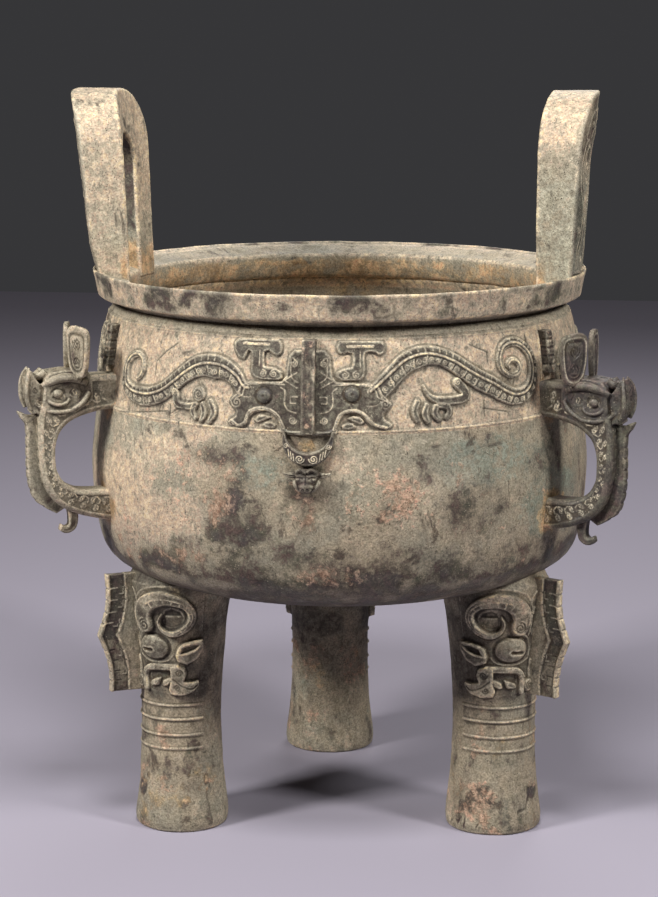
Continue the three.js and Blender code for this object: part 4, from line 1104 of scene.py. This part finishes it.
# -------------------------------------------------------------------- handles
def build_handles():
    outer = [(388, 762), (430, 763), (470, 762), (500, 754), (519, 741), (531, 719), (536, 689), (537, 658), (536, 628), (529, 589), (511, 558), (480, 537), (430, 522), (388, 518)]
    inner = [(388, 704), (415, 705), (443, 702), (472, 694), (489, 684), (501, 671), (508, 650), (508, 617), (503, 601), (493, 588), (472, 576), (449, 572.5), (420, 572), (388, 572)]
    n = 190
    O, I = spline(outer, count=n), spline(inner, count=n)

    def side(p0, p1, u, x, w):
        L = u.max()
        c = Canvas(u, x * 30 / np.maximum(w, 20) if False else x + 0 * u)
        W = w + 0 * x
        xx = (x + 0 * u).ravel()
        WW = W.ravel()
        uu = c.s
        # border lines that follow the loop, with a sunk field between them
        for q in (3.2, None):
            at = q if q else None
            k = np.exp(-((xx - 4.2) / 1.0) ** 2) if q else np.exp(-((WW - 4.2 - xx) / 1.0) ** 2)
            c.h += 0.9 * k
            c.line = np.maximum(c.line, 0.9 * k)
        field = step(5.5, 7.5, xx) * step(5.5, 7.5, WW - xx)
        c.h -= 0.9 * field
        # feathered scales along the field
        c.s, c.z = uu, xx / WW * 34
        for j in range(int(L / 21)):
            uc = 42 + j * 21
            if uc > L - 30:
                break
            c.thread(spiral(uc, 12.5, 4.8, 1.45, 90, 1), 0.9, 0.85)
            c.thread(spiral(uc + 10, 22.0, 4.8, 1.45, 270, 1), 0.9, 0.85)
            c.thread(line_points([(uc - 7, 26), (uc + 2, 22), (uc + 3, 17)], 1.5), 0.8, 0.8)
        fade = step(26, 44, uu) * step(L - 8, L - 26, uu)
        c.h *= fade
        c.line *= fade
        c.pit = np.maximum(c.pit, 0.55 * field * fade * (c.line < 0.35))
        c.s, c.z = uu, xx
        return c

    def back(p0, p1, u, y, w):
        c = Canvas(u, y + 0 * u)
        ph = ((u / 17.0) % 1).ravel()
        yy = (y + 0 * u).ravel()
        ridge = np.exp(-(((ph - 0.5) * 17 - 0.30 * np.abs(yy - 24.5)) / 1.5) ** 2)
        fade = (step(40, 60, u) * step(u.max() - 10, u.max() - 30, u)).ravel()
        c.h -= 1.3 * ridge * fade
        c.pit = np.maximum(c.pit, 0.8 * ridge * fade)
        return c

    # head: brow, cheeks, muzzle plate, eyes
    head = [prism([(446, 757), (454, 771), (490, 774), (518, 771), (526, 762), (527, 747), (530, 722), (524, 711), (476, 703), (446, 722)], 24.5),
            prism([(518, 747), (531, 751), (540, 762), (545, 774), (549, 776), (554, 763), (555, 742), (552, 722), (543, 708), (530, 699), (518, 706)], 16.5),
            tube([(549, -16, 711), (555, -18, 727), (556, -19, 747), (553, -16, 765), (548, -6, 779)], [3.0, 3.4, 3.4, 3.0, 2.0]),
            tube([(549, 16, 711), (555, 18, 727), (556, 19, 747), (553, 16, 765), (548, 6, 779)], [3.0, 3.4, 3.4, 3.0, 2.0]),
            tube([(543, -16, 708), (540, -2, 704), (540, 2, 704), (543, 16, 708)], [3.2, 3.6, 3.6, 3.2]),
            tube([(522, -10, 772), (530, -8, 766), (536, 0, 764), (530, 8, 766), (522, 10, 772)], [7, 6.5, 6.5, 6.5, 7])]
    for sg in (1, -1):
        head += [ball((505, sg * 23, 737), (8.6, 7.5, 7.8)),
                 tube([(456, sg * 23, 752), (474, sg * 27, 760), (496, sg * 28.5, 763), (516, sg * 25, 758), (529, sg * 18, 750)], [5.0, 6.8, 7.6, 7.2, 4.5]),
                 tube([(486, sg * 25, 727), (492, sg * 27, 721), (504, sg * 28, 718.5), (516, sg * 26, 722), (525, sg * 21, 731)], [2, 2.6, 2.8, 2.6, 2.0]),
                 tube([(468, sg * 24, 716), (486, sg * 27, 708), (508, sg * 26, 707), (526, sg * 20, 711), (540, sg * 16, 722)], [3, 3.4, 3.6, 3.4, 2.4]),
                 tube([(452, sg * 24, 736), (461, sg * 27.5, 724), (470, sg * 28, 716), (480, sg * 27, 711)], [4, 4.2, 4, 3])]
    v, f, E = fuse(head, 1.45, smooth=2)
    # cut lines into the head: scrolls on the muzzle's face, lines on brow and cheeks
    N = vertex_normals(v, f)
    hd = Canvas(v[:, 0], v[:, 2])
    hd.thread(spiral(479, 736, 6.0, 1.6, 0, 1), -1.3, 1.0)
    hd.thread(line_points([(480, 768), (498, 769), (514, 766)], 1.5), -1.1, 0.9)
    hd.thread(spline([(458, 766), (466, 757), (469, 747), (465, 738)], spacing=1.5), -1.2, 0.9)
    hd.thread(spiral(536, 722, 5.0, 1.4, 90, 1), -1.2, 0.9)
    hd.thread(spiral(540, 742, 4.6, 1.4, 90, -1), -1.2, 0.9)
    sidew = step(0.55, 0.85, np.abs(N[:, 1]))
    ft = Canvas(v[:, 1], v[:, 2])
    for sg in (1, -1):
        ft.thread(spiral(sg * 8, 723, 5.5, 1.6, 90, sg), -1.4, 1.0)
        ft.thread(spiral(sg * 8.5, 744, 5.5, 1.5, 270, sg), -1.4, 1.0)
        ft.thread(line_points([(sg * 3, 754), (sg * 10, 760), (sg * 6, 768)], 1.5), -1.2, 0.9)
    frontw = step(0.5, 0.85, N[:, 0]) * (v[:, 0] > 534)
    tp = Canvas(v[:, 1], v[:, 0])
    tp.thread(line_points([(-12, 455), (0, 470), (12, 455)], 1.5), -1.2, 0.9)
    tp.thread(line_points([(-12, 470), (0, 485), (12, 470)], 1.5), -1.2, 0.9)
    for sg in (1, -1):
        tp.thread(spiral(sg * 11, 503, 5.5, 1.5, 0, sg), -1.3, 0.9)
        tp.thread(spiral(sg * 9, 528, 4.5, 1.4, 0, sg), -1.1, 0.9)
    topw = step(0.55, 0.85, N[:, 2])
    disp = hd.h * sidew + ft.h * frontw + tp.h * topw
    pit = (hd.pit * sidew + ft.pit * frontw + tp.pit * topw).clip(0, 1)
    v2 = v + N * disp[:, None]
    ring = np.exp(-((np.hypot(v[:, 0] - 505, (v[:, 2] - 737) * 1.15) - 10.4) / 2.2) ** 2) * sidew
    pit = np.maximum(pit, ring * 0.9)
    v2 = v2 - N * (1.4 * ring)[:, None]

    # horn plates, standing up from the brow and turned outwards
    horn_out = spline([(-3, 761), (-15, 766), (-22, 780), (-25.5, 800), (-27.5, 822), (-26, 836), (-19, 843.5), (-2, 846), (15, 846), (24, 841), (27.5, 832),
                       (27, 812), (24.5, 790), (19, 773), (9, 763), (-3, 761)], spacing=1.7)[:-1]

    def horn(azimuth, sg):
        rows = []
        outline = horn_out
        k = len(outline)
        ctr = np.array([0.0, 803.0])
        depth = 8.0
        fr = [1.0, 0.985, 0.95, 0.9, 0.84, 0.78, 0.71, 0.64, 0.57, 0.50, 0.43, 0.36, 0.29, 0.22, 0.15, 0.08, 0.03]
        layers = [(f, 1) for f in fr[::-1]] + [(f, -1) for f in fr]
        V = np.zeros((len(layers) + 2, k, 3))
        att = np.zeros((len(layers) + 2, k))
        pits = np.zeros((len(layers) + 2, k))
        for j, (q, s) in enumerate([(0.0, 1)] + layers + [(0.0, -1)]):
            xy = ctr + (outline - ctr) * q
            c = Canvas(xy[:, 0], xy[:, 1])
            e = np.array([0, 8])
            # nested bands and a spiral in the middle
            rr = q * 24
            c.thread(np.vstack([ctr + (outline - ctr) * 0.86, (ctr + (outline - ctr) * 0.86)[:1]]), 1.1, 1.1)
            c.thread(np.vstack([ctr + (outline - ctr) * 0.70, (ctr + (outline - ctr) * 0.70)[:1]]), -1.5, 1.1)
            c.thread(spiral(0, 788, 9.5, 2.0, 200, 1), -1.5, 1.2)
            c.thread(spiral(0, 817, 10.5, 2.0, 20, -1), -1.5, 1.2)
            th = depth / 2 * (1 if q < 0.955 else (0.86 if q < 0.99 else 0.45))
            out_ = s * (th + c.h)
            # the plate's own frame, then turned about its upright, then set on its side of the head
            x, y = xy[:, 0], out_
            a = math.radians(-70 * sg)
            X = x * math.cos(a) - y * math.sin(a)
            Y = x * math.sin(a) + y * math.cos(a)
            V[j] = in_plane(azimuth, 472 + X, sg * 33 + Y, xy[:, 1])
            att[j], pits[j] = c.line, c.pit
        return V, att, pits

    fin_o = spline([(531, 701), (549, 701), (560, 706), (567, 708), (563, 698), (555, 688), (553, 672), (553.5, 640), (553, 603), (549, 580), (541, 560), (524, 546), (505, 535)], count=150)
    fin_i = spline([(523, 704), (525, 703), (527, 701), (528, 698), (529, 694), (530, 690), (530, 672), (530, 640), (528, 610), (522, 585), (513, 566), (500, 552), (488, 545)], count=150)
    tail_o = spline([(468, 541), (468, 522), (472, 508), (482, 501), (492, 501), (499, 506)], count=40)
    tail_i = spline([(486, 541), (484, 528), (484, 517), (487, 513.5), (491, 513), (496, 516)], count=40)

    for azimuth in HANDLES:
        mapping = lambda p0, p1, f, az=azimuth: in_plane(az, p0, 24.5 - 49 * f, p1)
        tone = {209.3: (0.12, 0.55, 0.55), 332.3: (0.85, 0.05, 1.0), 90.0: (0.3, 0.4, 0.7)}[azimuth]

        def zones(V, p0=None, p1=None, T=None):
            n1, n2 = noise(V, 42, 111 + azimuth, 3), noise(V, 16, 113, 3)
            root = step(452, 420, np.hypot(V[..., 0], V[..., 1]))
            low = step(590, 540, V[..., 2])
            return dict(dark=(tone[0] + 0.55 * step(-0.1, 0.5, n1) * (0.4 + tone[0]) + 0.25 * step(0.2, 0.6, n2) - 0.3 * root).clip(0, 1),
                        pale=(tone[1] * (0.6 + 0.6 * n2)).clip(0, 1), green=(0.3 * step(0.05, 0.5, -n1)).clip(0, 1), grey=tone[2] * (0.6 + 0.5 * n1).clip(0, 1),
                        ochre=(0.75 * root * low * step(-0.5, 0.2, n1)).clip(0, 1))
        hoop("handle_%d" % azimuth, O, I, 49, 9.0, mapping, dict(front=side, back=side, outer=back), na=26, nb=30, nc=5, attrs=zones, wave=0.7)
        fmap = lambda p0, p1, f, az=azimuth: in_plane(az, p0, 6 - 12 * f, p1)
        u = np.arange(150)
        cut = np.exp(-((((u / 150 * 13) % 1) - 0.5) / 13 * 150 * 1.3 / 2.0) ** 2) * (u > 24) * (u < 142)
        FO = fin_o + (fin_i - fin_o) / np.linalg.norm(fin_i - fin_o, axis=1)[:, None] * (1.5 * cut)[:, None]
        hoop("fin_%d" % azimuth, FO, fin_i, 12, 2.0, fmap, na=10, nb=6, attrs=zones, wave=0.4)
        tmap = lambda p0, p1, f, az=azimuth: in_plane(az, p0, 8 - 16 * f, p1)
        hoop("tail_%d" % azimuth, tail_o, tail_i, 16, 3.5, tmap, na=8, nb=8, attrs=zones, wave=0.4)
        V = in_plane(azimuth, v2[:, 0], v2[:, 1], v2[:, 2])
        z = zones(V)
        z["pit"] = pit
        z["dark"] = (z["dark"] + 0.15).clip(0, 1)
        finish_mesh("head_%d" % azimuth, V, f, z)
        for sg in (1, -1):
            HV, hl, hp = horn(azimuth, sg)
            z = zones(HV)
            z["line"], z["pit"] = hl, hp
            poled("horn_%d_%s" % (azimuth, "l" if sg < 0 else "r"), HV, z)


# ---------------------------------------------------------------- bull's heads
def build_bulls():
    # the face: brow, ears, cheeks and a muzzle that stands out over the belly
    head = [ball((12, 0, 652), (22, 21, 15)), ball((20, 0, 641), (17, 15, 14), 20), ball((27, 0, 630), (14, 11.5, 11.5)), ball((33, 0, 624), (8, 9.5, 7.5)),
            tube([(2, -12, 652), (16, -22, 651), (20, -32, 653), (17, -39, 656)], [7, 7.5, 6, 2], flat=0.8),
            tube([(2, 12, 652), (16, 22, 651), (20, 32, 653), (17, 39, 656)], [7, 7.5, 6, 2], flat=0.8),
            tube([(24, -15, 660), (31, -7, 665), (32, 0, 661), (31, 7, 665), (24, 15, 660)], [4, 5.5, 4.5, 5.5, 4]),
            ball((26, -11, 645), (6.5, 5.5, 4.5)), ball((26, 11, 645), (6.5, 5.5, 4.5)),
            tube([(16, -19, 640), (22, -17, 632), (22, -11, 622), (20, -5, 616)], [3.5, 4.5, 4.5, 4]),
            tube([(16, 19, 640), (22, 17, 632), (22, 11, 622), (20, 5, 616)], [3.5, 4.5, 4.5, 4]),
            ball((20, 0, 617), (13, 8, 5))]
    v, f, E = fuse(head, 1.15, smooth=2)
    N = vertex_normals(v, f)
    ft = Canvas(v[:, 1], v[:, 2])
    for sg in (1, -1):
        ft.thread(spiral(sg * 9, 662, 4.2, 1.4, 90, sg), -1.2, 0.9)
        ft.thread(spiral(sg * 4.2, 624, 2.6, 1.1, 90, sg), -1.2, 0.9)
        ft.thread(spline([(sg * 17, 650), (sg * 25, 652), (sg * 33, 654)], spacing=1.5), -1.3, 1.1)
        ft.thread(spline([(sg * 5, 648), (sg * 10, 650.5), (sg * 16, 647)], spacing=1.5), -1.1, 0.9)
    ft.thread(line_points([(0, 656), (0, 636)], 1.5), -0.9, 0.9)
    w = step(0.3, 0.7, N[:, 0])
    v2 = v + N * (ft.h * w)[:, None]
    pit = ft.pit * w
    a = np.linspace(0, math.pi, 130)
    bar_o = np.c_[-41 * np.cos(a), 709 - 51 * np.sin(a) ** 0.8]
    bar_i = np.c_[-36.5 * np.cos(a), 709 - 30 * np.sin(a) ** 1.15]
    s = np.sin(a)
    front, back = 7 + 15 * s, np.where(s < 0.2, -5, 7 + 15 * s - 7 - 7 * s)
    back = np.minimum(back, 7 + 15 * s - 7)
    back = np.where(s < 0.35, -5 + (back + 5) * step(0.1, 0.35, s), back)

    def face(p0, p1, u, x, w):
        c = Canvas(p0, p1)
        edge = np.minimum(x + 0 * u, w - x).ravel()
        k = np.exp(-((edge - 1.8) / 0.9) ** 2)
        c.h += 1.0 * k
        c.line = np.maximum(c.line, k)
        for sg in (1, -1):
            c.thread(spiral(sg * 10.5, 669.5, 7.0, 1.8, 180 if sg > 0 else 0, sg), 1.4, 0.95)
            c.thread(spiral(sg * 33, 688, 4.0, 1.3, 0, -sg), 1.2, 0.95)
            for x0, z0, x1, z1 in ((19, 666, 21, 677), (23, 669, 25, 680), (27, 673, 29, 683)):
                c.thread(line_points([(sg * x0, z0), (sg * x1, z1)], 1.2), 1.3, 0.85)
        c.pit = np.maximum(c.pit, 0.5 * (c.line < 0.3) * step(3, 5, edge))
        return c
    for front_az in FRONTS:
        def mapping(p0, p1, fr, az=front_az):
            fr_ = np.interp(np.arange(len(front)), np.arange(len(front)), front)[:, None]
            bk = back[:, None]
            out = fr_ - fr * (fr_ - bk)
            return polar(belly_r(p1) + out, az + np.degrees(p0 / 421.0), p1)

        def zones(V, p0=None, p1=None, T=None):
            n1 = noise(V, 30, 121 + int(front_az), 3)
            return dict(dark=(0.45 + 0.5 * step(-0.2, 0.4, n1)).clip(0, 1), grey=0.9 + 0 * n1)
        hoop("bull_horns_%d" % front_az, bar_o, bar_i, np.maximum(front - back, 3), 2.0, mapping, dict(front=face), na=22, nb=7, attrs=zones, wave=0.4)
        hz = 616 + (v2[:, 2] - 612) * 0.70
        V = polar(belly_r(hz) + 0.95 * v2[:, 0] - 2, front_az + np.degrees(0.95 * v2[:, 1] / 421.0), hz)
        z = zones(V)
        z["pit"] = pit
        # the right ear (beyond 24 mm across) is freed of the dark: a painted highlight
        z["dark"] = (z["dark"] - 0.1 - 1.0 * step(24, 30, v2[:, 1])).clip(0, 1)
        finish_mesh("bull_%d" % front_az, V, f, z)


build_bowl()
build_rim()
for i_, fr_ in enumerate(FRONTS):
    build_band(fr_, 1.42 if i_ == 0 else 2.1)
    flange_piece("flange_%d" % fr_, fr_, 707, 851, 10.6, 19, 11, 0.0)
for az_ in HANDLES:
    flange_piece("short_flange_%d" % az_, az_, 776, 843, 10.5, 15, 5, 1.6)
for i_ in range(3):
    build_leg(i_, 1.5 if i_ < 2 else 2.2)
    build_leg_plate(i_)
build_ear(180)
build_ear(0)
build_handles()
build_bulls()


# ------------------------------------------------------------------- material
def bronze_material():
    mat = bpy.data.materials.new("old_bronze")
    mat.use_nodes = True
    nt = mat.node_tree
    nt.nodes.clear()
    N, L = nt.nodes.new, nt.links.new

    def put(sock, v):
        if isinstance(v, bpy.types.NodeSocket):
            L(v, sock)
        elif isinstance(v, tuple) and len(v) == 3:
            sock.default_value = v + (1.0,)
        else:
            sock.default_value = v

    def math_(op, a, b=None, c=None, clamp=False):
        n = N("ShaderNodeMath")
        n.operation, n.use_clamp = op, clamp
        put(n.inputs[0], a)
        if b is not None:
            put(n.inputs[1], b)
        if c is not None:
            put(n.inputs[2], c)
        return n.outputs[0]

    def ramp(x, a, b, lo=0.0, hi=1.0, smooth=True):
        n = N("ShaderNodeMapRange")
        n.interpolation_type = "SMOOTHSTEP" if smooth else "LINEAR"
        put(n.inputs["Value"], x)
        n.inputs["From Min"].default_value, n.inputs["From Max"].default_value = a, b
        n.inputs["To Min"].default_value, n.inputs["To Max"].default_value = lo, hi
        return n.outputs["Result"]

    def mix(f, a, b, kind="MIX"):
        n = N("ShaderNodeMix")
        n.data_type, n.blend_type = "RGBA", kind
        put(n.inputs["Factor"], f)
        put(n.inputs["A"] if False else n.inputs[6], a)
        put(n.inputs[7], b)
        return n.outputs[2]

    co = N("ShaderNodeTexCoord").outputs["Object"]

    def noise_(scale, detail=4.0, rough=0.55, dist=0.0, offset=(0, 0, 0), stretch=None):
        m = N("ShaderNodeMapping")
        L(co, m.inputs["Vector"])
        m.inputs["Location"].default_value = offset
        if stretch:
            m.inputs["Scale"].default_value = stretch
        n = N("ShaderNodeTexNoise")
        L(m.outputs["Vector"], n.inputs["Vector"])
        n.inputs["Scale"].default_value = scale
        n.inputs["Detail"].default_value = detail
        n.inputs["Roughness"].default_value = rough
        n.inputs["Distortion"].default_value = dist
        return n.outputs["Fac"]

    def cells(scale, feature="F1", offset=(0, 0, 0)):
        m = N("ShaderNodeMapping")
        L(co, m.inputs["Vector"])
        m.inputs["Location"].default_value = offset
        n = N("ShaderNodeTexVoronoi")
        n.feature = feature
        L(m.outputs["Vector"], n.inputs["Vector"])
        n.inputs["Scale"].default_value = scale
        return n.outputs["Distance"]

    def attr(name):
        n = N("ShaderNodeAttribute")
        n.attribute_name = name
        return n.outputs["Fac"]

    def srgb(r, g, b):
        f = lambda c: c / 12.92 if c <= 0.04045 else ((c + 0.055) / 1.055) ** 2.4
        return (f(r), f(g), f(b))

    big = noise_(6.5, 6, 0.62, 0.5)
    mid = noise_(19, 8, 0.68, 0.4, (3.1, 1.7, 0.4))
    mid2 = noise_(36, 8, 0.68, 0.3, (7.7, 2.9, 5.1))
    small = noise_(105, 6, 0.68, 0.0, (1.3, 8.1, 2.2))
    fine = noise_(330, 4, 0.62, 0.0, (4.2, 0.3, 9.2))
    streak = noise_(120, 4, 0.6, 0.3, (0.4, 6.2, 2.7), (1.0, 1.0, 0.32))
    line, dark, pit, red, ochre, green, pale, grey, curv = (attr(k) for k in ("line", "dark", "pit", "red", "ochre", "green", "pale", "grey", "curv"))

    cream, tan, buff = srgb(0.88, 0.83, 0.73), srgb(0.73, 0.66, 0.55), srgb(0.80, 0.73, 0.62)
    stone, olive, sage = srgb(0.59, 0.57, 0.50), srgb(0.43, 0.41, 0.34), srgb(0.46, 0.50, 0.45)
    plum, umber, black = srgb(0.22, 0.175, 0.175), srgb(0.30, 0.23, 0.18), srgb(0.09, 0.075, 0.075)

    ms = math_("ADD", math_("MULTIPLY", mid2, 0.5), math_("MULTIPLY", small, 0.5))

    def zone(a, k, lo, hi, n=None):
        """A soft region broken up along its border by noise."""
        t = math_("ADD", a, math_("MULTIPLY", math_("SUBTRACT", n or ms, 0.5), k))
        return math_("MULTIPLY", ramp(t, lo, hi), ramp(a, 0.02, 0.16), clamp=True)

    # a buff crust with grey and olive wearing through it in ragged mottles
    base = mix(ramp(big, 0.40, 0.62), srgb(0.64, 0.61, 0.53), srgb(0.71, 0.65, 0.55))
    base = mix(ramp(mid, 0.46, 0.64, 0, 0.55), base, buff)
    base = mix(ramp(mid2, 0.50, 0.66, 0, 0.42), base, olive)
    base = mix(ramp(small, 0.52, 0.66, 0, 0.40), base, cream)
    base = mix(ramp(small, 0.46, 0.36, 0, 0.35), base, olive)
    base = mix(ramp(noise_(60, 9, 0.75, 0.2, (5.1, 0.9, 6.6)), 0.56, 0.66, 0, 0.5), base, srgb(0.36, 0.32, 0.27))
    g = zone(green, 3.0, 0.30, 0.95)
    base = mix(math_("MULTIPLY", g, 0.8), base, mix(ramp(small, 0.4, 0.6), sage, srgb(0.56, 0.60, 0.54)))
    pl = math_("MULTIPLY", zone(pale, 1.5, 0.10, 0.95), 0.85)
    base = mix(pl, base, mix(ramp(small, 0.38, 0.62), srgb(0.76, 0.70, 0.60), srgb(0.86, 0.81, 0.71)))
    # dark relief tops, olive-grey
    gy = zone(grey, 2.0, 0.10, 0.80)
    base = mix(math_("MULTIPLY", gy, 0.92), base, mix(ramp(small, 0.42, 0.60), srgb(0.27, 0.235, 0.215), srgb(0.47, 0.45, 0.39)))
    # dark stains and scattered patches
    patches = ramp(math_("ADD", noise_(15, 9, 0.72, 0.5, (2.2, 5.5, 1.1)), math_("MULTIPLY", fine, 0.10)), 0.62, 0.70, 0, 0.8)
    base = mix(patches, base, mix(ramp(small, 0.4, 0.6), plum, umber))
    dk = zone(dark, 4.2, 0.15, 1.0)
    base = mix(math_("MULTIPLY", dk, 0.96), base, mix(ramp(ms, 0.43, 0.57), srgb(0.14, 0.11, 0.11), mix(ramp(mid, 0.45, 0.58), srgb(0.36, 0.29, 0.27), srgb(0.37, 0.36, 0.30))))
    # salmon crust breaking out in flecks
    rd = zone(red, 4.5, 0.45, 0.95)
    base = mix(math_("MULTIPLY", rd, 0.75), base, mix(ramp(small, 0.42, 0.62), srgb(0.60, 0.45, 0.36), srgb(0.83, 0.71, 0.60)))
    base = mix(math_("MULTIPLY", zone(ochre, 2.8, 0.2, 0.8), 0.9), base, mix(ramp(mid2, 0.4, 0.6), srgb(0.64, 0.50, 0.34), srgb(0.81, 0.70, 0.53)))
    # worn edges and cut lines
    edge = ramp(curv, 0.10, 0.75)
    cav = math_("MULTIPLY", ramp(curv, -0.08, -0.7), math_("SUBTRACT", 1.0, math_("MULTIPLY", ochre, 0.8)), clamp=True)
    hi_ = math_("MAXIMUM", math_("MULTIPLY", math_("MULTIPLY", edge, 0.6), math_("SUBTRACT", 1.0, math_("MULTIPLY", dark, 0.85)), clamp=True), line)
    hi_ = math_("MULTIPLY", hi_, ramp(mid2, 0.34, 0.50, 0.45, 1.0), clamp=True)
    base = mix(hi_, base, mix(ramp(small, 0.38, 0.58), srgb(0.70, 0.65, 0.56), srgb(0.90, 0.86, 0.76)))
    low = math_("MAXIMUM", math_("MULTIPLY", cav, 0.55), math_("MULTIPLY", pit, 0.85))
    base = mix(low, base, mix(ramp(mid, 0.45, 0.62), srgb(0.11, 0.09, 0.09), srgb(0.33, 0.26, 0.18)))
    # fine grain, scratches, specks and pits
    base = mix(ramp(streak, 0.60, 0.68, 0, 0.45), base, srgb(0.26, 0.23, 0.21))
    speck = math_("MULTIPLY", ramp(cells(230), 0.24, 0.12), ramp(math_("ADD", noise_(48, 4, 0.6, 0, (9.1, 1.1, 3.3)), math_("MULTIPLY", red, 0.08)), 0.48, 0.58), clamp=True)
    base = mix(math_("MULTIPLY", speck, 0.8), base, srgb(0.17, 0.12, 0.10))
    speck2 = math_("MULTIPLY", ramp(cells(170, offset=(1.7, 2.9, 0.6)), 0.20, 0.10), ramp(mid, 0.44, 0.58), clamp=True)
    base = mix(math_("MULTIPLY", speck2, 0.5), base, srgb(0.85, 0.80, 0.70))
    base = mix(0.6, base, mix(ramp(fine, 0.36, 0.64), srgb(0.34, 0.34, 0.34), srgb(0.66, 0.66, 0.66)), "OVERLAY")
    base = mix(0.3, base, mix(ramp(mid2, 0.38, 0.62), srgb(0.34, 0.34, 0.35), srgb(0.66, 0.66, 0.64)), "OVERLAY")

    bsdf = N("ShaderNodeBsdfPrincipled")
    L(base, bsdf.inputs["Base Color"])
    bsdf.inputs["Metallic"].default_value = 0.0
    L(ramp(dark, 0.85, 1.0, 0.22, 0.5), bsdf.inputs["Specular IOR Level"])
    rough = ramp(mid2, 0.3, 0.7, 0.50, 0.74)
    rough = math_("ADD", rough, math_("MULTIPLY", low, 0.12), clamp=True)
    L(rough, bsdf.inputs["Roughness"])
    height = math_("ADD", math_("MULTIPLY", small, 0.60), math_("MULTIPLY", fine, 0.22))
    height = math_("ADD", height, math_("MULTIPLY", mid2, 0.5))
    height = math_("SUBTRACT", height, math_("MULTIPLY", speck, 0.6))
    height = math_("ADD", height, math_("MULTIPLY", rd, 0.25))
    bump = N("ShaderNodeBump")
    bump.inputs["Strength"].default_value = 0.75
    bump.inputs["Distance"].default_value = 0.0022
    L(height, bump.inputs["Height"])
    L(bump.outputs["Normal"], bsdf.inputs["Normal"])
    out = N("ShaderNodeOutputMaterial")
    L(bsdf.outputs[0], out.inputs[0])
    return mat


BRONZE = bronze_material()
for obj_ in ALL:
    obj_.data.materials.append(BRONZE)
    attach(obj_, "root")
    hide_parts("ding")


# ------------------------------------------------------------ floor and light
def plain_material(name, colour, rough):
    m = bpy.data.materials.new(name)
    m.use_nodes = True
    b = m.node_tree.nodes["Principled BSDF"]
    b.inputs["Base Color"].default_value = colour + (1.0,)
    b.inputs["Roughness"].default_value = rough
    b.inputs["Specular IOR Level"].default_value = 0.2
    return m


bpy.ops.mesh.primitive_plane_add(size=1)
floor = bpy.context.object
floor.name = "floor"
floor.scale = (14, 14, 1)
floor.location = (0, 0, -0.0006)
floor.data.materials.append(plain_material("floor", (0.26, 0.24, 0.285), 0.85))

world = bpy.data.worlds.new("world")
bpy.context.scene.world = world
world.use_nodes = True
bpy.context.scene.view_settings.view_transform = "Standard"
world.node_tree.nodes["Background"].inputs[0].default_value = (0.62, 0.62, 0.66, 1)
world.node_tree.nodes["Background"].inputs[1].default_value = 0.06


def lamp(name, at, to, size, power, colour=(1, 1, 1)):
    d = bpy.data.lights.new(name, "AREA")
    d.shape, d.size, d.size_y = "RECTANGLE", size[0], size[1]
    d.energy, d.color = power, colour
    o = bpy.data.objects.new(name, d)
    o.location = at
    o.rotation_euler = (Vector(to) - Vector(at)).to_track_quat("-Z", "Y").to_euler()
    bpy.context.scene.collection.objects.link(o)
    return o


lamp("key", (-3.0, -2.7, 3.15), (0, 0, 0.62), (0.8, 0.8), 262, (1.0, 0.985, 0.96))
lamp("second", (3.2, -1.9, 3.0), (0, 0, 0.62), (0.7, 0.7), 150, (1.0, 0.985, 0.97))
lamp("top", (0.1, -2.0, 4.2), (0, 0.35, 0.85), (0.9, 0.9), 140)

lamp("back", (0.3, 3.6, 3.4), (0, 0, 0.6), (1.6, 1.6), 75)

# --------------------------------------------------------------------- camera
cam_data = bpy.data.cameras.new("camera")
cam = bpy.data.objects.new("camera", cam_data)
bpy.context.scene.collection.objects.link(cam)
bpy.context.scene.camera = cam
cam_data.sensor_width = 36.0
cam_data.sensor_fit = "AUTO"
cam_data.lens = 2539.0 * 36.0 / 897.0
turn = math.radians(6.7)
back_ = Vector((math.sin(turn), -math.cos(turn), 0))
cam.location = Vector((AXIS_X / 1000, AXIS_Y / 1000, 0)) + back_ * 4.282 + Vector((0, 0, 1.3941))
yaw, pitch = 0.0042, 0.1387
fwd = -back_
fwd = Matrix.Rotation(yaw, 3, "Z") @ fwd
look = Vector((fwd.x * math.cos(pitch), fwd.y * math.cos(pitch), -math.sin(pitch)))
cam.rotation_euler = look.to_track_quat("-Z", "Y").to_euler()
cam_data.shift_x = 0.0
cam_data.shift_y = -(448.5 - 339.0) / 897.0
cam_data.dof.use_dof = False
